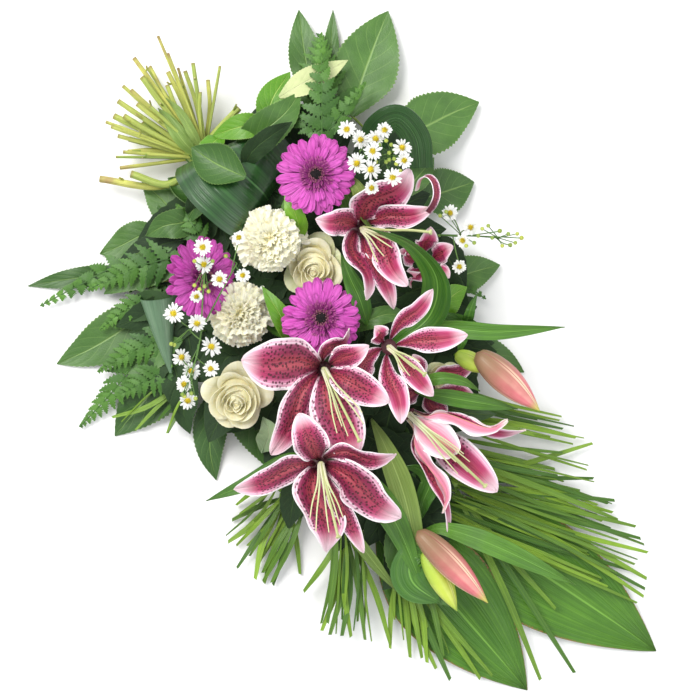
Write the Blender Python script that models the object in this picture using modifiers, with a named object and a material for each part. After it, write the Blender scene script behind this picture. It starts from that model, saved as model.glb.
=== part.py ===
"""Funeral flower arrangement: a tied sheaf of lilies, gerberas, roses and foliage, lying on its back.

Blender 4.5, metres, +Z up. Places are millimetres on a 700 mm plan board under the sheaf:
right, down and up, seen by an eye straight above its middle.
"""

import math
import random

import bmesh
import bpy
import numpy as np
from mathutils import Matrix, Vector

MM = 0.001
BOARD_MIDDLE = 350.0
EYE_HEIGHT = 2200.0
PLAN_HEIGHT = 60.0
LAY_ANGLE = math.radians(49.5)

BLADE = 0.8
PETAL = 0.8
TIP_HALF_WIDTH = 0.5
STEM_RADIUS = 2.6
STALK_RADIUS = 0.75
FOLIAGE_STEM_RADIUS = 1.8
FILAMENT_PITCH = 1.9
SEAT_GAP = 0.35
RUN_UP = 27.0
LEAST_PIECE = 5.0
LEAST_EDGE = 0.03
PILE_CELL = 1.2
PILE_GAP = 0.45
PILE_SLOPE = 0.45

TIE_PLACE = (205.0, 158.0, 26.0)
TIE_RADIUS = 22.0
TIE_CORE_RADIUS = 17.0
TIE_WIDTH = 13.0

# Cut ends of the stems on the plan board: right, down, up
CUT_ENDS = (
    (158, 36, 34), (134, 58, 20), (168, 53, 44), (193, 63, 40), (220, 66, 30), (123, 86, 14),
    (131, 90, 36), (118, 101, 26), (114, 116, 12), (111, 127, 34), (129, 139, 22), (123, 152, 40),
    (116, 157, 16), (100, 179, 18), (131, 174, 34), (148, 68, 12), (180, 76, 12), (178, 68, 26),
    (150, 106, 46), (239, 108, 26),
)

rng = random.Random(7)
lifts = {}


def plan(right, down, up):
    """A place on the plan board, in metres, as the eye above the board sees it."""
    scale = (EYE_HEIGHT - up) / (EYE_HEIGHT - PLAN_HEIGHT)
    x = (right - BOARD_MIDDLE) * scale
    y = (BOARD_MIDDLE - down) * scale
    turn = Matrix.Rotation(LAY_ANGLE, 3, "Z")
    return (turn @ Vector((x, y, up))) * MM


def material(name, colour, roughness=0.6):
    made = bpy.data.materials.new(name)
    made.use_nodes = True
    shader = made.node_tree.nodes["Principled BSDF"]
    shader.inputs["Base Color"].default_value = (*colour, 1.0)
    shader.inputs["Roughness"].default_value = roughness
    shader.inputs["Metallic"].default_value = 0.0
    return made


def smooth_path(points, steps=8):
    """Points along a Catmull-Rom curve, evenly spread by length."""
    ends = [points[0] * 2 - points[1], *points, points[-1] * 2 - points[-2]]
    fine = [points[0]]
    for a, b, c, d in zip(ends, ends[1:], ends[2:], ends[3:]):
        for k in range(1, steps + 1):
            t = k / steps
            fine.append(0.5 * (2 * b + (c - a) * t + (2 * a - 5 * b + 4 * c - d) * t * t
                               + (3 * b - a - 3 * c + d) * t ** 3))
    return fine


def stations(points, count):
    """Place, tangent and normal at even steps along the path, the normal carried along without twist."""
    fine = smooth_path(points)
    lengths = [0.0]
    for a, b in zip(fine, fine[1:]):
        lengths.append(lengths[-1] + (b - a).length)
    places = []
    for k in range(count + 1):
        want = lengths[-1] * k / count
        i = max(j for j in range(len(lengths) - 1) if lengths[j] <= want + 1e-12)
        share = (want - lengths[i]) / max(lengths[i + 1] - lengths[i], 1e-12)
        places.append(fine[i].lerp(fine[i + 1], min(share, 1.0)))
    tangents = []
    for k in range(count + 1):
        tangents.append((places[min(k + 1, count)] - places[max(k - 1, 0)]).normalized())
    return places, tangents


def leaf_outline(t, widest=0.42, root=0.12, point=0.9):
    if t < widest:
        return root + (1 - root) * math.sin(0.5 * math.pi * t / widest)
    return math.cos(0.5 * math.pi * (t - widest) / (1 - widest)) ** point


def strip_outline(t):
    return min(1.0, 0.14 + 2.2 * t, 4.5 * (1 - t))


def frond_outline(t):
    return min(1.0, 0.5 + 4 * t) * (1 - t) ** 0.85 + 0.03


def loop_outline(t):
    return 0.86 + 0.14 * math.sin(math.pi * t)


def cone_outline(t):
    return 0.06 + 0.94 * t


def blade(points, half_width, rows=5, cols=2, outline=leaf_outline, fold=0.0, curl=0.0, wave=0.0, waves=3,
          teeth=0.0, cut=0.0, sweep=0.0, roll=0.0, face=(0, 0, 1), thick=BLADE):
    """A leaf or petal along a path: a grid of rows by cols, bent, folded and waved, with real thickness."""
    places, tangents = stations(points, rows)
    normal = Vector(face)
    frames = []
    for tangent in tangents:
        normal = (normal - tangent * normal.dot(tangent)).normalized()
        turn = Matrix.Rotation(roll, 3, tangent)
        frames.append((turn @ normal, turn @ normal.cross(tangent)))
    bm = bmesh.new()
    bmesh.ops.create_grid(bm, x_segments=cols, y_segments=rows, size=1.0)
    for vert in bm.verts:
        across, along = vert.co.x, 0.5 * (vert.co.y + 1)
        k = round(along * rows)
        up, side = frames[k]
        half = max(TIP_HALF_WIDTH, half_width * outline(along))
        if teeth and abs(across) > 0.99 and 0 < k < rows:
            half *= 1 + teeth * (-1) ** k
        if cut and k % 2 == 0:
            half = max(TIP_HALF_WIDTH, half * (1 - cut))
        shift, height = across, 0.0
        if curl:
            shift = math.sin(across * curl) / curl
            height = (1 - math.cos(across * curl)) / curl * half
        height += fold * abs(across) * half
        height += wave * across * across * math.sin(math.tau * (waves * along + 0.17 * across))
        vert.co = places[k] + (side * shift * half + up * height) * MM
        vert.co += tangents[k] * abs(across) * half * sweep * MM
    bmesh.ops.triangulate(bm, faces=bm.faces)
    bmesh.ops.recalc_face_normals(bm, faces=bm.faces)
    return solid(bm, thick)


def solid(bm, thick=0.0):
    """An object of this mesh in the scene, to be fused, with a wall of this thickness if it is a sheet."""
    mesh = bpy.data.meshes.new("piece")
    bm.to_mesh(mesh)
    bm.free()
    piece = bpy.data.objects.new("piece", mesh)
    bpy.context.scene.collection.objects.link(piece)
    if thick:
        wall = piece.modifiers.new("Wall", "SOLIDIFY")
        wall.thickness = thick * MM
        wall.offset = 0
    return piece


def flattened(piece):
    """The object with its modifiers applied."""
    graph = bpy.context.evaluated_depsgraph_get()
    mesh = bpy.data.meshes.new_from_object(piece.evaluated_get(graph))
    piece.modifiers.clear()
    old = piece.data
    piece.data = mesh
    if piece.type == "MESH" and old.users == 0:
        bpy.data.meshes.remove(old)
    return piece


def tube(points, radii, sides=4):
    """A stem: a poly curve with a round bevel and filled caps, made a mesh."""
    curve = bpy.data.curves.new("stem", "CURVE")
    curve.dimensions = "3D"
    curve.bevel_depth = MM
    curve.bevel_resolution = (sides - 4) // 2
    curve.use_fill_caps = True
    spline = curve.splines.new("POLY")
    spline.points.add(len(points) - 1)
    for k, (point, place) in enumerate(zip(spline.points, points)):
        point.co = (*place, 1)
        point.radius = radii[k] if isinstance(radii, (list, tuple)) else radii
    drawn = bpy.data.objects.new("stem", curve)
    bpy.context.scene.collection.objects.link(drawn)
    graph = bpy.context.evaluated_depsgraph_get()
    mesh = bpy.data.meshes.new_from_object(drawn.evaluated_get(graph))
    bpy.data.objects.remove(drawn)
    bm = bmesh.new()
    bm.from_mesh(mesh)
    bpy.data.meshes.remove(mesh)
    bmesh.ops.remove_doubles(bm, verts=bm.verts, dist=1e-6)
    bmesh.ops.triangulate(bm, faces=bm.faces)
    bmesh.ops.recalc_face_normals(bm, faces=bm.faces)
    return solid(bm)


def ball(middle, radii, segments=8, rings=5, turn=None):
    bm = bmesh.new()
    bmesh.ops.create_uvsphere(bm, u_segments=segments, v_segments=rings, radius=1.0)
    for vert in bm.verts:
        place = Vector(vert.co[i] * radii[i] * MM for i in range(3))
        vert.co = middle + (turn @ place if turn else place)
    bmesh.ops.triangulate(bm, faces=bm.faces)
    return solid(bm)


def frill(middle, profile, petals, points=2, notch=0.4, ruffle=0.0, start=0.0, turn=None, thick=PETAL):
    """A ring of petals joined at the middle: a turned sheet whose rim is cut between the petals.

    The profile holds the radius and height of each row, and the first radius is 0.
    """
    rows, count = len(profile) - 1, petals * points
    bm = bmesh.new()
    bmesh.ops.create_grid(bm, x_segments=count, y_segments=rows, size=1.0)
    for vert in bm.verts:
        row = round(0.5 * (vert.co.y + 1) * rows)
        step = round(0.5 * (vert.co.x + 1) * count) % count
        reach, height = profile[row]
        if row == rows:
            reach *= 1 - notch * (step % points == 0)
        if row:
            height += ruffle * row / rows * (-1) ** step
        angle = start + math.tau * step / count
        place = Vector((math.cos(angle) * reach, math.sin(angle) * reach, height)) * MM
        vert.co = middle + (turn @ place if turn else place)
    bmesh.ops.remove_doubles(bm, verts=bm.verts, dist=1e-6)
    bmesh.ops.triangulate(bm, faces=bm.faces)
    bmesh.ops.recalc_face_normals(bm, faces=bm.faces)
    return solid(bm, thick)


def points_of(piece):
    points = np.empty(len(piece.data.vertices) * 3)
    piece.data.vertices.foreach_get("co", points)
    return points.reshape(-1, 3)


def samples_of(piece):
    """Points on the triangles of the piece, about one pile cell apart."""
    points = points_of(piece)
    piece.data.calc_loop_triangles()
    faces = np.empty(len(piece.data.loop_triangles) * 3, np.int32)
    piece.data.loop_triangles.foreach_get("vertices", faces)
    corners = points[faces.reshape(-1, 3)]
    found = [points]
    spans = np.linalg.norm(corners - np.roll(corners, 1, axis=1), axis=2).max(axis=1)
    counts = np.clip(np.ceil(spans / (PILE_CELL * MM)), 1, 110).astype(int)
    for count in np.unique(counts):
        chosen = corners[counts == count]
        for i in range(count + 1):
            for j in range(count + 1 - i):
                share = np.array([i, j, count - i - j]) / count
                found.append(np.einsum("k,nkc->nc", share, chosen))
    return np.concatenate(found)


class Pile:
    """How high the sheaf stands so far over each cell of the board, so that the next piece lies on it."""

    def __init__(self):
        self.cells = int(1100 / PILE_CELL)
        self.top = np.zeros((self.cells, self.cells))

    def index(self, points):
        cell = np.floor(points[:, :2] / (PILE_CELL * MM)).astype(int) + self.cells // 2
        return cell[:, 0], cell[:, 1]

    def height_at(self, place):
        x, y = self.index(np.array([place]))
        return float(self.top[x[0] - 1:x[0] + 2, y[0] - 1:y[0] + 2].max())

    def add(self, piece):
        points = samples_of(piece)
        np.maximum.at(self.top, self.index(points), points[:, 2] / MM)

    def need_of(self, points):
        """How far each of these points must rise to clear what lies under it."""
        near = self.top.copy()
        for shift_x in (-1, 0, 1):
            for shift_y in (-1, 0, 1):
                near = np.maximum(near, np.roll(self.top, (shift_x, shift_y), (0, 1)))
        under = near[self.index(points)]
        return np.where(under > 0, under + PILE_GAP, 0) - points[:, 2] / MM

    def lay_flat(self, piece):
        """Raises the whole piece until it clears what lies under it."""
        lift = max(0.0, self.need_of(samples_of(piece)).max())
        for vert in piece.data.vertices:
            vert.co.z += lift * MM

    def lay(self, piece):
        """Bends the piece upwards where it would cut what lies under it, in as gentle a slope as clears it."""
        for plateau in (3, 8, 14, 22, 32, 45):
            points = samples_of(piece)
            need = self.need_of(points)
            if need.max() < 0.1:
                break
            lift = self.lift_at(points_of(piece), points, need, plateau)
            for vert, up in zip(piece.data.vertices, lift):
                vert.co.z += up * MM

    def lift_at(self, wanted, points, need, plateau):
        """The least lift that clears every sample round it and falls off at the pile's slope."""
        high = need > 0
        if not high.any():
            return np.zeros(len(wanted))
        cells = {}
        for x, y, up in zip(points[high, 0], points[high, 1], need[high]):
            key = (round(x / (3 * MM)), round(y / (3 * MM)))
            cells[key] = max(cells.get(key, 0), up)
        peaks = np.array([(*key, up) for key, up in cells.items()])
        peaks[:, :2] *= 3 * MM
        lift = np.zeros(len(wanted))
        for start in range(0, len(wanted), 400):
            part = wanted[start:start + 400, None, :2] - peaks[None, :, :2]
            away = np.maximum(np.linalg.norm(part, axis=2) / MM - plateau, 0)
            lift[start:start + 400] = np.maximum(peaks[None, :, 2] - PILE_SLOPE * away, 0).max(axis=1)
        return lift


def union(pieces, solver="EXACT"):
    """One object from these overlapping pieces."""
    first, rest = pieces[0], pieces[1:]
    if not rest:
        return flattened(first)
    others = bpy.data.collections.new("repeats")
    bpy.context.scene.collection.children.link(others)
    for piece in rest:
        others.objects.link(piece)
        bpy.context.scene.collection.objects.unlink(piece)
    joining = first.modifiers.new("Union", "BOOLEAN")
    joining.operation = "UNION"
    joining.operand_type = "COLLECTION"
    joining.collection = others
    joining.solver = solver
    flattened(first)
    for piece in rest:
        bpy.data.objects.remove(piece)
    bpy.data.collections.remove(others)
    drop_scrap(first, solver == "EXACT")
    return first


def without_slivers(bm):
    """The mesh with its slivers closed up, or as it was where that would open it."""
    trial = bm.copy()
    bmesh.ops.dissolve_degenerate(trial, dist=LEAST_EDGE * MM, edges=trial.edges)
    bmesh.ops.triangulate(trial, faces=trial.faces)
    if all(edge.is_manifold for edge in trial.edges):
        return trial
    return bm


def drop_scrap(made, closing):
    """Fills sealed hollows and drops the loose scrap that a union leaves, and its slivers where asked."""
    bm = bmesh.new()
    bm.from_mesh(made.data)
    bm = without_slivers(bm) if closing else bm
    left, scrap = set(bm.verts), []
    while left:
        island, edge = set(), [left.pop()]
        while edge:
            vert = edge.pop()
            island.add(vert)
            for link in vert.link_edges:
                other = link.other_vert(vert)
                if other in left:
                    left.remove(other)
                    edge.append(other)
        spans = [max(v.co[i] for v in island) - min(v.co[i] for v in island) for i in range(3)]
        if max(spans) < LEAST_PIECE * MM:
            scrap.extend(island)
    bmesh.ops.delete(bm, geom=scrap, context="VERTS")
    bm.to_mesh(made.data)
    bm.free()


def keep(name, made, look):
    """Makes this object a node of the sheaf."""
    made.name = name
    made.data.name = name
    made.data.materials.clear()
    made.data.materials.append(look)
    bpy.context.scene.collection.objects.unlink(made)
    sheaf.objects.link(made)
    made.parent = anchor
    return made


def node(name, pieces, look, solver="EXACT", settle=0.0, flat=False):
    """A node laid on the pile, bent or flat, then settled on it. lifts keeps how far it rose over its seat."""
    made = keep(name, union(pieces, solver), look)
    before = points_of(made)
    if flat:
        pile.lay_flat(made)
    else:
        pile.lay(made)
    pile.add(made)
    for vert in made.data.vertices:
        vert.co.z -= settle * MM
    if name in SEATS:
        seat = plan(*SEATS[name], PLAN_HEIGHT)
        nearest = np.linalg.norm(before[:, :2] - np.array(seat[:2]), axis=1).argmin()
        lifts[name] = (points_of(made)[nearest, 2] - before[nearest, 2]) / MM
    return made


def path(*places):
    return [plan(*place) for place in places]


for thing in list(bpy.data.objects):
    bpy.data.objects.remove(thing)
sheaf = bpy.data.collections.new("funeral_flower_arrangement")
bpy.context.scene.collection.children.link(sheaf)
anchor = bpy.data.objects.new("middle_of_base", None)
sheaf.objects.link(anchor)
pile = Pile()

GREEN = material("leaf_green", (0.06, 0.16, 0.04), 0.5)
DARK_GREEN = material("aspidistra_green", (0.015, 0.07, 0.02), 0.35)
FERN_GREEN = material("fern_green", (0.09, 0.26, 0.04), 0.6)
PALM_GREEN = material("palm_green", (0.14, 0.32, 0.05), 0.55)
TI_GREEN = material("ti_leaf_green", (0.07, 0.2, 0.05), 0.45)
STEM_GREEN = material("stem_green", (0.35, 0.42, 0.1), 0.6)
RAFFIA = material("raffia", (0.45, 0.33, 0.16), 0.8)
LILY_PINK = material("lily_pink", (0.55, 0.06, 0.2), 0.5)
FILAMENT = material("lily_filament", (0.55, 0.62, 0.3), 0.5)
MAGENTA = material("gerbera_magenta", (0.5, 0.04, 0.4), 0.6)
DISC_DARK = material("gerbera_disc", (0.05, 0.015, 0.03), 0.8)
IVORY = material("carnation_ivory", (0.85, 0.82, 0.66), 0.7)
CREAM = material("rose_cream", (0.88, 0.84, 0.62), 0.6)
BUD_GREEN = material("bud_green", (0.5, 0.6, 0.08), 0.5)
BUD_PINK = material("bud_pink", (0.6, 0.2, 0.22), 0.5)
DAISY_WHITE = material("daisy_white", (0.85, 0.86, 0.8), 0.6)

# Back foliage lies on the surface and is laid first, the rest of the sheaf on it
TI_LEAVES = {
    "ti_leaf_right": (((432, 500, 10), (480, 535, 6), (544, 575, 3), (607, 617, 3), (656, 651, 2)), 57),
    "ti_leaf_lower": (((380, 515, 9), (415, 560, 6), (458, 610, 3), (497, 655, 3), (527, 690, 2)), 54),
}
# Each sprig: its twig, then its leaves with their half widths
SALAL_SPRIGS = {
    "salal_top": (((372, 136, 20), (350, 114, 17), (329, 98, 14), (312, 96, 14)), (
        (((313, 100, 14), (306, 62, 13), (302, 36, 11), (299, 10, 8)), 17),
        (((331, 98, 13), (331, 52, 9), (332, 30, 6), (333, 10, 4)), 9),
        (((351, 116, 17), (361, 82, 16), (374, 46, 12), (388, 11, 6)), 33))),
    "salal_left_upper": (((186, 240, 22), (160, 232, 18), (146, 254, 15), (126, 268, 13)), (
        (((128, 268, 13), (98, 275, 8), (62, 280, 5), (28, 286, 2)), 11),
        (((161, 230, 18), (140, 236, 12), (120, 246, 8), (100, 254, 4)), 17),
        (((186, 242, 22), (174, 214, 18), (158, 196, 14), (142, 182, 10)), 20))),
    "salal_left_lower": (((204, 330, 20), (188, 344, 14), (176, 322, 14), (156, 306, 13)), (
        (((160, 304, 13), (128, 326, 9), (92, 348, 5), (57, 364, 2)), 25),
        (((187, 344, 14), (162, 380, 8), (138, 408, 5), (115, 436, 2)), 30),
        (((204, 330, 20), (222, 350, 16), (238, 366, 12), (254, 376, 8)), 18))),
    "salal_bottom_left": ((), (
        (((224, 385, 15), (212, 420, 9), (210, 450, 6), (216, 480, 3)), 18),
        (((224, 386, 15), (250, 416, 12), (268, 446, 10), (280, 478, 8)), 24),
        (((225, 385, 15), (262, 378, 14), (292, 392, 12), (316, 420, 10)), 22))),
    "salal_right_dark": ((), (
        (((446, 348, 14), (475, 352, 9), (500, 360, 6), (524, 372, 3)), 19),
        (((446, 348, 14), (430, 384, 12), (424, 420, 10), (434, 466, 8)), 27),
        (((447, 349, 14), (420, 322, 12), (392, 304, 10), (360, 290, 8)), 26))),
    "salal_right_lower": ((), (
        (((440, 286, 16), (462, 276, 12), (480, 270, 9), (500, 265, 6)), 19),)),
    "salal_right_upper": ((), (
        (((418, 200, 16), (438, 194, 12), (456, 188, 10), (474, 182, 6)), 25),
        (((418, 201, 16), (410, 232, 14), (396, 262, 12), (376, 286, 10)), 24))),
    "salal_upper_right": ((), (
        (((390, 140, 20), (422, 128, 18), (450, 114, 14), (479, 102, 8)), 31),)),
}
# Rachis path, half breadth at the foot, number of leaflets on a side
FERNS = {
    "fern_top": (((322, 138, 26), (323, 110, 24), (321, 75, 22), (320, 34, 16)), 52, 9),
    "fern_left_upper": (((164, 282, 22), (118, 268, 18), (78, 286, 14), (40, 306, 8)), 25, 8),
    "fern_left_comb": (((186, 250, 20), (174, 232, 19), (158, 206, 16)), 20, 5),
    "fern_left_middle": (((172, 306, 26), (150, 312, 22), (114, 328, 16)), 21, 5),
    "fern_left_lower": (((160, 326, 22), (140, 356, 18), (114, 390, 13), (80, 427, 6)), 36, 9),
    "fern_right": (((443, 285, 19), (468, 288, 16), (486, 299, 14)), 13, 4),
}
PALM_RIGHT_TIPS = (
    (593, 478), (614, 500), (612, 512), (635, 526), (640, 538), (647, 552), (646, 578), (643, 596),
    (592, 443), (555, 608), (574, 672), (540, 679),
)
PALM_BOTTOM_TIPS = (
    (390, 648), (410, 657), (427, 662), (436, 668), (450, 679), (480, 678), (492, 675),
)
PALM_MIDDLE_TIPS = (
    (304, 590), (322, 629), (330, 633), (342, 634), (351, 635), (365, 638), (390, 642),
)
PALM_LEFT_TIPS = (
    (232, 520), (228, 542), (237, 568), (255, 579), (264, 583), (273, 585), (300, 574),
)
PALM_SMALL_TIPS = (
    (113, 417), (136, 430), (168, 433),
)
# Where each head or leaf of the upper layers meets its stem: right, down
SEATS = {
    "lily_a": (362, 229), "lily_b": (324, 369), "lily_c": (321, 463), "lily_d": (389, 347),
    "lily_e": (409, 414), "lily_f": (427, 388), "lily_g": (424, 262),
    "gerbera_top": (316, 175), "gerbera_middle": (321, 318), "gerbera_left": (203, 279),
    "carnation_upper": (270, 240), "carnation_lower": (240, 313),
    "rose_middle": (314, 268), "rose_left": (238, 398), "rose_hidden": (441, 378),
    "bud_green_right": (457, 355), "bud_pink_right": (479, 355),
    "bud_green_lower": (425, 552), "bud_pink_lower": (419, 533),
    "daisies_upper": (371, 160), "daisies_left": (203, 330), "daisies_right": (440, 235),
    "aspidistra_loop": (228, 168), "aspidistra_cone": (168, 366), "aspidistra_right": (372, 148),
    "collar_sprig": (273, 108),
}
# Stems from the tie to a fork or straight to one seat, and the seats on each
STEMS = {
    "lily_stem_upper": ((384, 232), ("lily_a", "lily_g", "aspidistra_right")),
    "lily_stem_middle": ((322, 346), ("lily_b", "lily_c")),
    "lily_stem_right": ((388, 326), ("lily_d", "bud_green_right", "bud_pink_right", "rose_hidden")),
    "lily_stem_lower": ((404, 404), ("lily_e", "lily_f", "bud_green_lower", "bud_pink_lower")),
}
# Stems of the foliage at the back: from a seat or fork above, to the foot of the leaf
FOLIAGE_STEMS = (
    ((404, 404), (432, 502)), ((321, 463), (346, 527)), ((321, 463), (287, 495)), ((372, 148), (391, 140)),
    ((372, 148), (369, 134)), ((424, 262), (446, 286)), ((424, 262), (419, 201)), ((441, 378), (447, 350)),
    ((238, 398), (223, 391)), ((203, 330), (200, 334)), ((203, 279), (187, 243)), ((203, 279), (166, 281)),
)
LILIES = {
    "lily_g": ((424, 262), 40, 64, (
        (431, 228, 72, 11), (452, 246, 68, 11), (450, 276, 64, 11), (408, 286, 58, 10), (398, 250, 60, 10))),
    "lily_f": ((427, 388), 42, 62, (
        (474, 364, 66, 10), (474, 396, 60, 11), (446, 420, 56, 11), (394, 402, 54, 10), (414, 354, 58, 10))),
    "lily_e": ((409, 414), 66, 96, (
        (458, 456, 92, 15), (509, 424, 84, 12), (526, 433, 68, 9), (498, 492, 62, 18), (451, 534, 56, 7),
        (447, 513, 78, 13))),
    "lily_d": ((389, 347), 84, 106, (
        (433, 290, 114, 10), (467, 335, 116, 13), (433, 396, 104, 11), (402, 423, 110, 13), (344, 387, 106, 12),
        (376, 326, 106, 11))),
    "lily_a": ((362, 229), 62, 96, (
        (413, 172, 108, 25), (432, 210, 102, 13), (406, 287, 106, 16), (395, 309, 82, 11), (370, 300, 96, 16),
        (315, 221, 102, 15))),
    "lily_b": ((324, 369), 66, 98, (
        (241, 362, 106, 28), (368, 347, 112, 13), (389, 402, 96, 17), (353, 463, 104, 25), (272, 456, 92, 17),
        (352, 330, 78, 10))),
    "lily_c": ((321, 463), 56, 92, (
        (299, 413, 104, 18), (396, 456, 100, 13), (400, 520, 92, 22), (364, 553, 84, 10), (330, 552, 96, 26),
        (234, 491, 100, 15))),
}
HALF_HIDDEN_LILIES = ("lily_f", "lily_g")
# Where the throat of a lily that leans looks, past its foot
LILY_LEAN = {"lily_e": (470, 462, 84)}
STAMENS = {
    "lily_a": ((392, 248, 116), (384, 256, 114), (396, 238, 118), (378, 262, 112), (400, 244, 114), (430, 232, 124)),
    "lily_b": ((337, 433, 116), (348, 436, 118), (362, 412, 118), (364, 424, 116), (342, 426, 120), (359, 440, 124)),
    "lily_c": ((310, 518, 112), (316, 531, 114), (329, 532, 116), (340, 525, 114), (343, 517, 112), (338, 536, 122)),
    "lily_d": ((415, 369, 124), (410, 376, 122), (420, 362, 122), (404, 372, 122), (412, 358, 124), (424, 374, 130)),
    "lily_e": ((456, 462, 96), (464, 454, 98), (470, 462, 96), (468, 472, 94), (458, 474, 94), (485, 486, 98)),
}


def ti_leaf(name):
    places, half = TI_LEAVES[name]
    leaf = blade(path(*places), half, rows=6, cols=4, wave=1.2, waves=2, curl=0.25, fold=0.02)
    node(name, [leaf], TI_GREEN)


def salal_leaf(places, half, **shape):
    return blade(path(*places), half, rows=4, teeth=0.05, fold=0.12, **shape)


def salal_sprig(name):
    twig, leaves = SALAL_SPRIGS[name]
    twigs = [tube(path(*twig), 1.5)] if twig else []
    node(name, [*twigs, *[salal_leaf(*leaf) for leaf in leaves]], GREEN)


def fern(name):
    """A frond: one arched blade whose outline is cut to the rib between its leaflets."""
    places, breadth, count = FERNS[name]
    frond = blade(path(*places), breadth, rows=2 * count, cols=2, outline=frond_outline, cut=0.84, sweep=0.5,
                  fold=-0.06)
    node(name, [frond], FERN_GREEN)


def palm(name, foot, tips, up=9, half=3.4):
    """A fan of narrow strips from one foot."""
    middle = plan(*foot, up)
    pieces = [ball(middle, (10, 10, 2.4), 8, 3)]
    for k, tip in enumerate(tips):
        bend = rng.uniform(-7, 7)
        way = Vector((tip[0] - foot[0], tip[1] - foot[1])).normalized()
        half_way = (foot[0] * 0.45 + tip[0] * 0.55 - way.y * bend, foot[1] * 0.45 + tip[1] * 0.55 + way.x * bend)
        start = (foot[0] + way.x * 7, foot[1] + way.y * 7)
        strip = path((*start, up + 0.14 * (k % 7)), (*half_way, up + rng.uniform(-1, 5)), (*tip, rng.uniform(4, 16)))
        pieces.append(blade(strip, half + rng.uniform(-0.5, 0.5), rows=2, cols=1, outline=strip_outline))
    node(name, pieces, PALM_GREEN, flat=True)


def lily(name):
    """Six tepals round the throat: the wide inner three, and the narrow outer three a little below them."""
    throat, foot_up, rim_up, tips = LILIES[name]
    foot = plan(*throat, foot_up)
    lean = LILY_LEAN.get(name)
    axis = (plan(*lean) - foot).normalized() if lean else Vector((0, 0, 1))
    depth = (rim_up - foot_up) * MM
    east = Vector((1, 0, 0)) - axis * axis.x
    east.normalize()
    north = axis.cross(east)
    tepals = []
    for right, down, up, half in tips:
        tip = plan(right, down, up)
        out = tip - foot
        out -= axis * out.dot(axis)
        tepals.append((math.atan2(out.dot(north), out.dot(east)), tip, out, half))
    tepals.sort(key=lambda tepal: tepal[0])
    share = math.tau / len(tepals)
    offsets = [angle - share * k for k, (angle, *_) in enumerate(tepals)]
    first = sum(offsets) / len(offsets)
    turn = Vector((0, 0, 1)).rotation_difference(axis).to_matrix()
    pieces = [ball(foot, (9, 9, 4), 7, 3, turn)]
    for k, (_, tip, out, half) in enumerate(tepals):
        ring = east * math.cos(first + share * k) + north * math.sin(first + share * k)
        lower, wider = (0, 0) if half > 13 else (-5, 2)
        flare = (ring + out.normalized()).normalized()
        reach = out.length
        places = [
            foot + ring * (5 + wider) * MM,
            foot + ring * (10 + wider) * MM + axis * (0.55 * depth + 0.5 * lower * MM),
            foot + flare * ((10 + wider) * MM + 0.22 * reach) + axis * (depth + lower * MM),
            (foot + axis * depth).lerp(tip, 0.66) + axis * (3 + lower) * MM,
            tip,
        ]
        pieces.append(blade(places, half, rows=3 if name in HALF_HIDDEN_LILIES else 4, outline=tepal_outline,
                            fold=0.14, face=-ring, thick=PETAL))
    node(name, pieces, LILY_PINK, solver="MANIFOLD")


def tepal_outline(t):
    if t < 0.55:
        return 0.09 + 0.91 * math.sin(0.5 * math.pi * t / 0.55) ** 2
    return math.cos(0.5 * math.pi * (t - 0.55) / 0.45) ** 0.75


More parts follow.
